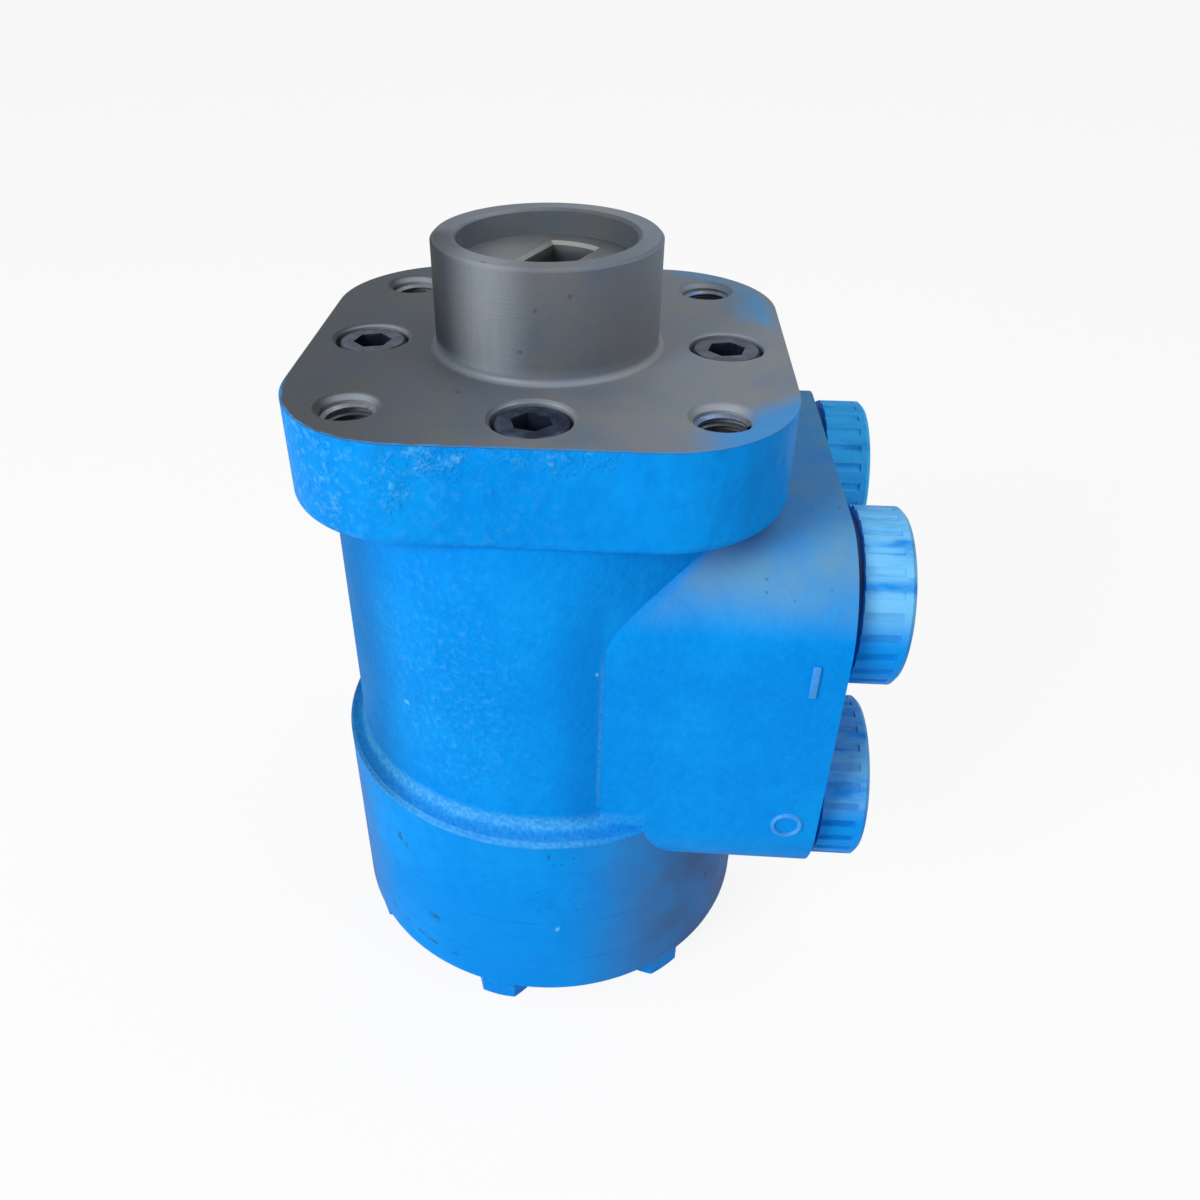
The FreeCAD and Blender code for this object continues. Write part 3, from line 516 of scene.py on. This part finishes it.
def bossLightAndShade(x, y, z):
    # painted light and shade: lighter and darker stretches round the boss and its rim
    onBoss = z.ramp(*iron["bossZ"]) * y.ramp(*iron["bossY"])
    wall = x.ramp(*iron["bossLeftX"]) * 0.62 + 0.23 - x.ramp(*iron["bossRightX"]) * 0.2
    rim = 0.12 - x.ramp(*iron["rimRightX"]) * 0.2 + x.ramp(*iron["rimLeftX"]) * 0.25
    return 1 + z.ramp(*iron["rimZ"]) * rim - onBoss * wall


def boreLightAndShade(x, z, radius):
    # painted shade and light on the bore's wall: darker to the right, lighter to the left
    inBore = radius.ramp(*iron["boreR"]) * z.ramp(*iron["boreZ"])
    return 1 - inBore * (x.ramp(*iron["boreRightX"]) * 0.5 - x.ramp(*iron["boreLeftX"]) * 0.4)


def bossHighlights(paint, spot, x, y, z, radius):
    # painted highlights: the light band, and a narrow light line along the fillet
    streaks = noise(paint, stretched(paint, spot, iron["streakStretch"]), iron["streakGrain"])
    band = x.away(iron["sheenX"]).ramp(*iron["sheenWidth"]) * y.ramp(*iron["sheenY"]) \
        * z.ramp(*iron["sheenZ"]) * (0.5 + streaks * 0.35)
    foot = z.ramp(*iron["footZ"]) * z.ramp(*iron["footEndZ"]) * radius.ramp(*iron["footR"]) \
        * x.ramp(*iron["footX"])
    return (band * 0.84).larger(foot * 0.32)


def machinedIron(paint, spot, forwards, cloud):
    x, y, z = axes(paint, spot)
    radius = distance(x, y)
    metal = mixed(paint, cloud, tint(*iron["grey"]), tint(*iron["warm"]))
    for level in (ironLightLevel(paint, spot, x), bossLightAndShade(x, y, z), boreLightAndShade(x, z, radius)):
        metal = toned(paint, metal, level)
    inSink = z.ramp(*iron["sinkZ"]) * radius.ramp(*iron["sinkR"]) * forwards.ramp(*iron["sinkFacing"])
    return layered(paint, metal, (
        # painted highlights on the boss
        (bossHighlights(paint, spot, x, y, z, radius), iron["highlightTone"]),
        # painted shade down in the holes
        (z.ramp(*iron["deepZ"]) * 0.55, iron["dark"]),
        # painted light on the sinks' front-facing walls
        (inSink * z.ramp(*iron["sinkEndZ"]) * 0.6, iron["highlightTone"]),
        (blobs(paint, spot, iron["spots"], iron["spotTorn"]) * 0.45, iron["rust"]),
    ))


flange = {
    "straightTo": 26.0,             # the plan's sides are straight to here, then comes a round corner
    "cornerR": 30.0,
    "sideIn": (0.35, 0.15),         # enamel begins this far in from the flange's side
    "sideZ": (0.0, -0.15),
    "underR": (50.0, 52.0),
    "underZ": (-21.2, -21.8),
    "fringeIn": (0.9, 0.1),         # a thin ragged fringe of enamel along the front edge
    "fringeY": (-24.0, -34.0),
    "fringeWander": 1.8,
    "wanderGrain": 4.0,
    "topFacing": (0.4, 0.8),
    "topR": (36.0, 40.0),
    "topZ": (-2.5, -0.8),
    "mistTone": (106, 156, 186),    # spray drifted on the machined face at two corners
    "mistShare": 0.86,
    "mistPaleY": (-10.0, 20.0),
    "drift": 5.0,
    "frontMistX": 34.0,
    "frontBendY": -44.5,
    "frontSlope": 1.18,
    "frontSpread": (-4.0, 8.5),
    "frontY": (-20.0, -30.0),
    "rearMistX": 44.5,
    "rearBendY": 44.0,
    "rearSlope": 1.9,
    "rearStartY": 20.0,
    "rearStartSlope": 0.9,
    "rearSpread": (-3.0, 8.0),
    "rearY": (1.0, 11.0),
    "rearIn": (-1.0, 4.0),
    "crumbGrain": 1.9,
    "swellGrain": 9.0,
    "leftX": (26.0, -10.0),         # the casting's skin is rougher to the left, most at the corner
    "cornerX": (-30.0, -42.0),
    "cornerY": (10.0, -15.0),
    "pitted": [((-20.6, -56.0, -1.0), 3.6, (1, 1, 0.8)), ((-14.8, -56.0, -3.3), 2.6, (1, 1, 0.9)),
               ((-1.9, -56.0, -0.4), 3.4, (1, 1, 1.4)), ((6.8, -56.0, -2.5), 2.6, (1, 1, 1)),
               ((14.5, -56.0, -0.9), 3.2, (1, 1, 1.3)), ((-28.0, -56.0, -8.0), 3.4, (1, 1, 0.7))],
}


def flangeInset(x, y):
    # the distance in from the flange's side
    overX = (x.away() - flange["straightTo"]).larger(0.0)
    overY = (y.away() - flange["straightTo"]).larger(0.0)
    return flange["cornerR"] - distance(overX, overY)


def flangeMist(x, y, inset, wobble):
    frontLine = x - flange["frontMistX"] - (y - flange["frontBendY"]).larger(0.0) * flange["frontSlope"]
    rearLine = x - flange["rearMistX"] + (y - flange["rearBendY"]).larger(0.0) * flange["rearSlope"] \
        - (flange["rearStartY"] - y).larger(0.0) * flange["rearStartSlope"]
    drift = wobble * flange["drift"]
    front = (frontLine + drift).ramp(*flange["frontSpread"]) * y.ramp(*flange["frontY"]) * flange["mistShare"]
    rear = (rearLine + drift).ramp(*flange["rearSpread"]) * y.ramp(*flange["rearY"]) \
        * inset.ramp(*flange["rearIn"]) * flange["mistShare"]
    fringe = (inset + wobble * flange["fringeWander"]).ramp(*flange["fringeIn"]) * y.ramp(*flange["fringeY"])
    return united([front, rear, fringe])


def paintCover():
    material, paint = startMaterial("coverIronAndEnamel")
    spot = place(paint)
    x, y, z = axes(paint, spot)
    forwards, upwards = facing(paint)[1:]
    radius = distance(x, y)
    wobble = noise(paint, spot, flange["wanderGrain"], 4.0) - 0.5
    inset = flangeInset(x, y)
    side = inset.ramp(*flange["sideIn"]) * z.ramp(*flange["sideZ"])
    painted = side.larger(z.ramp(*flange["underZ"]) * radius.ramp(*flange["underR"]))
    onTop = upwards.ramp(*flange["topFacing"]) * radius.ramp(*flange["topR"]) * z.ramp(*flange["topZ"])
    blue = painted.larger(flangeMist(x, y, inset, wobble) * onTop)
    cloud = noise(paint, spot, iron["cloudGrain"], 4.0).ramp(0.3, 0.7)
    metal = machinedIron(paint, spot, forwards, cloud)
    pitted = blobs(paint, spot, flange["pitted"])
    crumbs = noise(paint, spot, flange["crumbGrain"], 4.0, 0.6)
    toLeft = x.ramp(*flange["leftX"])
    corner = x.ramp(*flange["cornerX"]) * (0.3 + y.ramp(*flange["cornerY"]) * 0.7)
    enamelled = layered(paint, enamelColour(paint, spot), (
        (crumbs.ramp(0.48, 0.74) * (toLeft * 0.1 + pitted * 0.45 + corner * 0.42), enamel["fleckAndHighlight"]),
        (onTop * (0.3 + y.ramp(*flange["mistPaleY"]) * 0.3), flange["mistTone"]),
    ))
    rings = turnedNoise(paint, radius, z, iron["ringGrain"])
    cast = crumbs * (0.15 + toLeft * 0.2 + pitted * 0.25 + corner * 0.5) \
        + noise(paint, spot, flange["swellGrain"], 2.0) * 1.2
    height = (1 - blue) * (rings * 0.035 + noise(paint, spot, iron["fineGrain"], 2.0) * 0.04) \
        + painted * cast + blue * 0.06
    finishMaterial(paint, {
        "Base Color": mixed(paint, blue, metal, enamelled),
        "Roughness": iron["roughness"] + cloud * 0.08 - blue * 0.1,
        "Metallic": (1 - blue) * iron["metallic"],
        "Specular IOR Level": enamel["gloss"],
    }, height)
    return material


# Fasteners, plugs and seals

screwFinish = {
    "black": (34, 46, 66),
    "worn": (88, 102, 122),
    "edgeZ": (-1.5, -0.85),
    "wornGrain": 3.0,
    "toneGrain": 1.4,
    "glossGrain": 2.0,
    "bumpGrain": 0.5,
    "roughness": 0.34,
    "metallic": 0.7,
}


def paintScrews():
    material, paint = startMaterial("blackOxide")
    spot = place(paint)
    z = axes(paint, spot)[2]
    worn = z.ramp(*screwFinish["edgeZ"]) * noise(paint, spot, screwFinish["wornGrain"], 4.0).ramp(0.35, 0.7)
    colour = mixed(paint, worn * 0.45, tint(*screwFinish["black"]), tint(*screwFinish["worn"]))
    colour = toned(paint, colour, 0.75 + noise(paint, spot, screwFinish["toneGrain"]) * 0.5)
    finishMaterial(paint, {
        "Base Color": colour,
        "Roughness": screwFinish["roughness"] + noise(paint, spot, screwFinish["glossGrain"]) * 0.2,
        "Metallic": screwFinish["metallic"],
    }, noise(paint, spot, screwFinish["bumpGrain"], 2.0) * 0.05)
    return material


boltFinish = {
    "wornGrain": 2.5,
    "peelGrain": 1.2,
    "insideZ": (-170.6, -170.2),
    "roughness": 0.42,
}


def paintBolts():
    material, paint = startMaterial("boltEnamel")
    spot = place(paint)
    z = axes(paint, spot)[2]
    worn = noise(paint, spot, boltFinish["wornGrain"], 4.0).ramp(0.62, 0.7)
    colour = layered(paint, enamelColour(paint, spot, 0.3), ((worn * 0.7, enamel["chip"]),))
    colour = bared(paint, colour, z.ramp(*boltFinish["insideZ"]))
    height = noise(paint, spot, boltFinish["peelGrain"], 2.0) * 0.12
    finishEnamel(paint, colour, height, boltFinish["roughness"] + worn * 0.2)
    return material


plugFinish = {
    "blue": (6, 134, 224),
    "deep": (0, 92, 178),
    "powder": (118, 156, 172),
    "fluteR": (21.56, 21.26),       # the flutes' floor, inside the head's outline but not on its face
    "fluteFaceR": (20.2, 20.9),
    "fluteEndX": (82.8, 82.0),      # the flutes end here and the rim is smooth
    "wallR": (18.6, 20.1),
    "powderUp": (3.0, 10.0),
    "litTo": 13.0,
    "cloudGrain": 7.0,
    "cloudStretch": (0.25, 1, 1),
    "peelGrain": 1.3,
    "swellGrain": 5.0,
    "roughness": 0.42,
    "ports": {                      # each centre is a place in Y and Z
        "front_upper": {"centre": (-24.0, -52.5), "paintedLightTone": (120, 200, 246), "powdered": 0.35,
                        "banded": 0.4, "lit": 0.85, "litFrom": -1.0},
        "front_lower": {"centre": (-24.0, -112.5), "paintedLightTone": (120, 196, 246), "powdered": 0.5,
                        "banded": 0.6, "lit": 0.45, "litFrom": 2.0},
        "rear_upper": {"centre": (36.0, -52.5), "paintedLightTone": (62, 188, 255), "powdered": 0.15,
                       "banded": 0.45, "lit": 1.0, "litFrom": -22.0},
        "rear_lower": {"centre": (36.0, -112.5), "paintedLightTone": (44, 172, 254), "powdered": 0.3,
                       "banded": 0.6, "lit": 0.5, "litFrom": 2.0},
    },
}


def paintPlug(name, port):
    material, paint = startMaterial("plugPlastic_" + name)
    spot = place(paint)
    x, y, z = axes(paint, spot)
    portY, portZ = port["centre"]
    up = z - portZ
    radius = distance(y - portY, up)
    flute = radius.ramp(*plugFinish["fluteR"]) * radius.ramp(*plugFinish["fluteFaceR"]) \
        * x.ramp(*plugFinish["fluteEndX"])
    wallShare = 0.25 + radius.ramp(*plugFinish["wallR"]) * 0.75
    along = stretched(paint, spot, plugFinish["cloudStretch"])
    cloud = noise(paint, along, plugFinish["cloudGrain"], 5.0, 0.6)
    powder = cloud.ramp(0.36, 0.62) * port["powdered"] * up.ramp(*plugFinish["powderUp"]) \
        * (1 - flute * 0.6) * wallShare
    # painted light: the plug lighter towards its top, most on the plugs that catch the light
    lit = up.ramp(port["litFrom"], plugFinish["litTo"]) * cloud.ramp(0.3, 0.55) * port["lit"] * wallShare
    colour = layered(paint, tint(*plugFinish["blue"]), (
        (cloud.ramp(0.35, 0.65) * 0.5, enamel["light"]),
        # painted shade down in the flutes
        (flute * cloud.ramp(0.25, 0.6) * port["banded"], plugFinish["deep"]),
        (powder, plugFinish["powder"]),
        # painted light on the plug's upper side
        (lit, port["paintedLightTone"]),
    ))
    height = noise(paint, spot, plugFinish["peelGrain"]) * 0.12 \
        + noise(paint, spot, plugFinish["swellGrain"], 2.0) * 0.25
    finishEnamel(paint, colour, height, plugFinish["roughness"] + powder * 0.3)
    return material


def plainFinish(name, look):
    # a finish with cloudy tone, fine grain and broken gloss
    material, paint = startMaterial(name)
    spot = place(paint)
    grained = noise(paint, stretched(paint, spot, look.get("stretch", (1, 1, 1))), look["grain"], 4.0)
    cloud = noise(paint, spot, look["grain"] * 12).ramp(0.3, 0.7)
    finishMaterial(paint, {
        "Base Color": mixed(paint, cloud * 0.6 + grained * 0.4, tint(*look["dark"]), tint(*look["light"])),
        "Roughness": look["roughness"] + (grained - 0.5) * 0.25,
        "Metallic": look["metallic"],
    }, grained * look["bump"])
    return material


# Rubber, steel and brass, each with the nodes that it covers

innerFinishes = {
    "plugRubber": {
        "dark": (12, 40, 78), "light": (24, 84, 146),
        "roughness": 0.6, "metallic": 0.0, "grain": 0.8, "bump": 0.08,
        "nodes": ("plug_seals",)},
    "sealRubber": {
        "dark": (18, 18, 20), "light": (36, 36, 40),
        "roughness": 0.62, "metallic": 0.0, "grain": 0.6, "bump": 0.04,
        "nodes": ("cover_o_ring", "spacer_o_ring", "stator_o_ring", "end_cover_o_ring", "dust_ring",
                  "shaft_seal")},
    "groundSteel": {
        "dark": (142, 144, 150), "light": (186, 188, 194),
        "roughness": 0.24, "metallic": 1.0, "grain": 0.35, "bump": 0.01, "stretch": (1, 1, 4),
        "nodes": ("bearing_race_upper", "bearing_race_lower", "bearing_needles", "control_spool",
                  "control_sleeve", "cross_pin", "rotor", "check_ball")},
    "turnedSteel": {
        "dark": (108, 110, 116), "light": (150, 152, 156),
        "roughness": 0.36, "metallic": 1.0, "grain": 0.5, "bump": 0.03, "stretch": (1, 1, 5),
        "nodes": ("spring_ring", "drive_shaft", "limit_post", "check_bushing")},
    "springStrip": {
        "dark": (72, 78, 96), "light": (108, 112, 128),
        "roughness": 0.3, "metallic": 1.0, "grain": 0.4, "bump": 0.01, "stretch": (6, 1, 1),
        "nodes": ("leaf_springs",)},
    "stampedBrass": {
        "dark": (158, 122, 60), "light": (196, 160, 92),
        "roughness": 0.34, "metallic": 1.0, "grain": 0.6, "bump": 0.02,
        "nodes": ("bearing_cage",)},
}


blockFinish = {
    "grey": (103, 106, 109),
    "paintedLightTone": (146, 148, 143),
    "dark": (52, 55, 60),
    "cloudGrain": 6.0,
    "leftX": (2.0, -15.0),
    "rightX": (2.0, 14.0),
    "slopeZ": (17.0, 18.0),         # a painted highlight on the slot's bevelled edges, which face partly upwards
    "slopeFacing": (0.4, 0.6),
    "flatFacing": (0.95, 0.85),
    "slotZ": (18.4, 15.5),
    "ringGrain": 0.3,
    "fineGrain": 0.6,
    "roughness": 0.5,
    "metallic": 0.55,
}


def paintConnectingBlock():
    material, paint = startMaterial("milledBlock")
    spot = place(paint)
    x, y, z = axes(paint, spot)
    upwards = facing(paint)[2]
    cloud = noise(paint, spot, blockFinish["cloudGrain"], 4.0)
    # painted light on the disc's left, where the boss's wall shades it, and a little painted shade on its
    # right
    paintedLightAndShade = x.ramp(*blockFinish["leftX"]) * 0.5 - x.ramp(*blockFinish["rightX"]) * 0.15
    slope = upwards.ramp(*blockFinish["slopeFacing"]) * upwards.ramp(*blockFinish["flatFacing"]) \
        * z.ramp(*blockFinish["slopeZ"])
    colour = toned(paint, tint(*blockFinish["grey"]), 0.85 + paintedLightAndShade + cloud * 0.3)
    colour = layered(paint, colour, (
        # a painted highlight on the bevelled edges
        (slope * 0.75, blockFinish["paintedLightTone"]),
        # painted shade down in the slot
        (z.ramp(*blockFinish["slotZ"]) * 0.8, blockFinish["dark"]),
    ))
    rings = turnedNoise(paint, distance(x, y), z, blockFinish["ringGrain"])
    finishMaterial(paint, {
        "Base Color": colour,
        "Roughness": blockFinish["roughness"] - slope * 0.1 + cloud * 0.1,
        "Metallic": blockFinish["metallic"],
    }, rings * 0.04 + noise(paint, spot, blockFinish["fineGrain"]) * 0.03)
    return material


print("materials")
cover(paintBody(), "valve_body")
cover(paintStack(), "spacer_plate", "stator_ring", "end_cover")
cover(paintCover(), "front_cover", "column_boss")
cover(paintScrews(), "cover_screws")
cover(paintBolts(), "end_cover_bolts", "bolt_washers")
for name, port in plugFinish["ports"].items():
    cover(paintPlug(name, port), "port_plug_" + name)
cover(paintConnectingBlock(), "connecting_block")
for name, look in innerFinishes.items():
    cover(plainFinish(name, look), *look["nodes"])


def addPiece(name, body, mesh, material):
    piece = bpy.data.objects.new(name, mesh)
    scene.collection.objects.link(piece)
    mesh.materials.append(material)
    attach(piece, body)


def meshFrom(shape, name, smoothAngle=None):
    bmesh.ops.remove_doubles(shape, verts=shape.verts, dist=1e-7)
    bmesh.ops.recalc_face_normals(shape, faces=shape.faces)
    mesh = bpy.data.meshes.new(name)
    shape.to_mesh(mesh)
    shape.free()
    if smoothAngle is not None:
        mesh.shade_smooth()
        mesh.set_sharp_from_angle(angle=math.radians(smoothAngle))
    return mesh


# Threads in the four corner holes

thread = {
    "pitch": 1.75 * mm,
    "wallR": 6.0 * mm,
    "wallSink": 0.02 * mm,          # the ridge's root lies this far in the hole's wall
    "crestR": 5.12 * mm,
    "rootShare": 0.42,              # half the ridge's width at its root, as a share of the pitch
    "crestShare": 0.2,              # the crest's width, as a share of the root's
    "topZ": -2.3 * mm,
    "turns": 9,
    "stepsPerTurn": 40,
    "holeOffset": 38.9 * mm,
    "corners": ((-1, -1), (1, -1), (-1, 1), (1, 1)),
    "root": (84, 88, 94),
    "crest": (140, 144, 148),
    "blueMist": (30, 96, 160),
    "grain": 0.8,
    # painted shade, darker down in the hole
    "deepZ": (-2.0, -7.0),
    "mistX": (20.0, 30.0),
    "mistZ": (-5.0, -1.5),
    "mistPatch": 4.0,
    "roughness": 0.4,
    "metallic": 0.75,
}


def paintThread():
    material, paint = startMaterial("tappedThread")
    spot = place(paint)
    x, _, z = axes(paint, spot)
    grain = noise(paint, spot, thread["grain"])
    misty = x.ramp(*thread["mistX"]) * z.ramp(*thread["mistZ"]) \
        * noise(paint, spot, thread["mistPatch"]).ramp(0.35, 0.6)
    colour = layered(paint, tint(*thread["root"]), (
        (grain, thread["crest"]),
        # painted shade down in the hole
        (z.ramp(*thread["deepZ"]) * 0.75, iron["dark"]),
        (misty * 0.7, thread["blueMist"]),
    ))
    finishMaterial(paint, {
        "Base Color": colour,
        "Roughness": thread["roughness"],
        "Metallic": thread["metallic"],
    }, grain * 0.03)
    return material


def addThread(index, x, y, material):
    shape = bmesh.new()
    half = thread["pitch"] * thread["rootShare"]
    crestHalf = half * thread["crestShare"]
    rootR = thread["wallR"] + thread["wallSink"]
    outline = [(rootR, half), (thread["crestR"], crestHalf), (thread["crestR"], -crestHalf), (rootR, -half)]
    corners = [shape.verts.new((x + r, y, thread["topZ"] + rise)) for r, rise in outline]
    edges = [shape.edges.new(pair) for pair in zip(corners, corners[1:])]
    bmesh.ops.spin(shape, geom=corners + edges, cent=(x, y, 0), axis=(0, 0, 1),
                   dvec=(0, 0, -thread["pitch"] / thread["stepsPerTurn"]),
                   angle=2 * math.pi * thread["turns"],
                   steps=thread["turns"] * thread["stepsPerTurn"], use_merge=False)
    mesh = meshFrom(shape, "cornerThread", 35)
    addPiece("cornerThread_%d" % index, "housing", mesh, material)


threadFinish = paintThread()
for index, (sideX, sideY) in enumerate(thread["corners"], 1):
    addThread(index, sideX * thread["holeOffset"], sideY * thread["holeOffset"], threadFinish)
print("threads")


# Plain cast marks beside the ports

castMark = {
    "wallY": -51.5 * mm,
    "rise": 0.7 * mm,
    "sink": 0.3 * mm,
    "barX": 64.1 * mm,
    "barZ": -58.1 * mm,
    "barSize": (1.8 * mm, 9.0 * mm),
    "barBevel": 0.32 * mm,
    "ringX": 63.7 * mm,
    "ringZ": -104.8 * mm,
    "ringR": 3.4 * mm,
    "ringW": 0.9 * mm,
    "ringSteps": 48,
    "rootWide": 1.6,                # the ring's section, as shares of its half width and its rise
    "crestWide": 0.4,
    "shoulderRise": 0.6,
    "finish": {"dark": (0, 112, 196), "light": (58, 166, 240),
               "roughness": 0.5, "metallic": 0.0, "grain": 0.9, "bump": 0.3},
}


def addBarMark(material):
    shape = bmesh.new()
    bmesh.ops.create_cube(shape, size=1.0)
    width, height = castMark["barSize"]
    depth = castMark["rise"] + castMark["sink"]
    bmesh.ops.scale(shape, vec=(width, depth, height), verts=shape.verts)
    middle = castMark["wallY"] - castMark["rise"] + depth / 2
    bmesh.ops.translate(shape, vec=(castMark["barX"], middle, castMark["barZ"]), verts=shape.verts)
    bmesh.ops.bevel(shape, geom=shape.edges[:], offset=castMark["barBevel"], offset_type="OFFSET",
                    segments=3, profile=0.5, material=-1, affect="EDGES")
    addPiece("castMarkBar", "housing", meshFrom(shape, "castMarkBar", 40), material)


def addRingMark(material):
    shape = bmesh.new()
    centre = Vector((castMark["ringX"], castMark["wallY"], castMark["ringZ"]))
    half = castMark["ringW"] / 2
    root = half * castMark["rootWide"]
    crest = half * castMark["crestWide"]
    shoulder = castMark["rise"] * castMark["shoulderRise"]
    outline = [(-root, castMark["sink"]), (-half, -shoulder), (-crest, -castMark["rise"]),
               (crest, -castMark["rise"]), (half, -shoulder), (root, castMark["sink"])]
    corners = []
    for across, proud in outline:
        corners.append(shape.verts.new(centre + Vector((castMark["ringR"] + across, proud, 0))))
    edges = [shape.edges.new(pair) for pair in zip(corners, corners[1:] + corners[:1])]
    bmesh.ops.spin(shape, geom=corners + edges, cent=centre, axis=(0, 1, 0), angle=2 * math.pi,
                   steps=castMark["ringSteps"], use_merge=True)
    addPiece("castMarkRing", "housing", meshFrom(shape, "castMarkRing", 50), material)


markFinish = plainFinish("castMarkEnamel", castMark["finish"])
addBarMark(markFinish)
addRingMark(markFinish)
print("cast marks")


# Floor, light and camera

studio = {
    "floorZ": -177.8 * mm,
    "floorSize": 6.0,
    "floorColour": (234, 234, 235),
    "white": (1, 1, 1, 1),
    "floorWhiteShare": 0.9,
    "skyLight": 0.33,
    "skyWhite": 0.975,
    "aim": (0.01, 0.0, -0.07),
    "lamps": {
        "keyLight": {"place": (-0.70, -0.78, 0.46), "power": 10.9, "size": 0.5},
        "topLight": {"place": (0.35, -0.05, 0.9), "power": 2.4, "size": 0.6},
        "rightLight": {"place": (0.85, -0.45, 0.25), "power": 0.8, "size": 0.5},
    },
}


def seenDirectly(paint):
    # 1 for the camera, in reflections and through glass, 0 for the light on the part
    rays = ("Is Camera Ray", "Is Glossy Ray", "Is Transmission Ray")
    return united([paint.node("LightPath", output=ray) for ray in rays])


def addFloor():
    shape = bmesh.new()
    bmesh.ops.create_grid(shape, x_segments=1, y_segments=1, size=studio["floorSize"] / 2)
    bmesh.ops.translate(shape, vec=(0, 0, studio["floorZ"]), verts=shape.verts)
    floor = bpy.data.objects.new("floor", meshFrom(shape, "floor"))
    scene.collection.objects.link(floor)
    material, paint = startMaterial("paleFloor")
    diffuse = paint.node("BsdfDiffuse", {}, {"Color": tint(*studio["floorColour"])})
    white = paint.node("Emission", {}, {"Color": studio["white"], "Strength": 1.0})
    share = seenDirectly(paint) * studio["floorWhiteShare"]
    surface = paint.node("MixShader", {}, {0: share, 1: diffuse, 2: white})
    paint.node("OutputMaterial", {}, {"Surface": surface})
    floor.data.materials.append(material)


def addWorld():
    world = bpy.data.worlds.new("studioSky")
    scene.world = world
    world.use_nodes = True
    world.node_tree.nodes.clear()
    sky = Wire(world.node_tree)
    soft = sky.node("Background", {}, {"Color": studio["white"], "Strength": studio["skyLight"]})
    white = sky.node("Background", {}, {"Color": studio["white"], "Strength": studio["skyWhite"]})
    surface = sky.node("MixShader", {}, {0: seenDirectly(sky), 1: soft, 2: white})
    sky.node("OutputWorld", {}, {"Surface": surface})


def addLamp(name, settings):
    lamp = bpy.data.lights.new(name, "AREA")
    lamp.energy = settings["power"]
    lamp.shape = "SQUARE"
    lamp.size = settings["size"]
    holder = bpy.data.objects.new(name, lamp)
    scene.collection.objects.link(holder)
    holder.location = settings["place"]
    towards = Vector(studio["aim"]) - Vector(settings["place"])
    holder.rotation_euler = towards.to_track_quat("-Z", "Y").to_euler()


view = {
    "place": (18.90 * mm, -233.74 * mm, 90.62 * mm),
    "turn": (54.414, 0.078, 4.203),
    "lens": 30.85,
    "sensor": 36.0,
    "shift": (0.03794, 0.00525),
    "clip": (0.005, 50.0),
}


def addCamera():
    camera = bpy.data.cameras.new("camera")
    camera.sensor_width = view["sensor"]
    camera.lens = view["lens"]
    camera.shift_x, camera.shift_y = view["shift"]
    camera.clip_start, camera.clip_end = view["clip"]
    holder = bpy.data.objects.new("camera", camera)
    scene.collection.objects.link(holder)
    holder.location = view["place"]
    holder.rotation_euler = Euler([math.radians(angle) for angle in view["turn"]], "XYZ")
    scene.camera = holder


addFloor()
addWorld()
for name, settings in studio["lamps"].items():
    addLamp(name, settings)
addCamera()
scene.view_settings.view_transform = "Standard"
print("floor, light and camera")
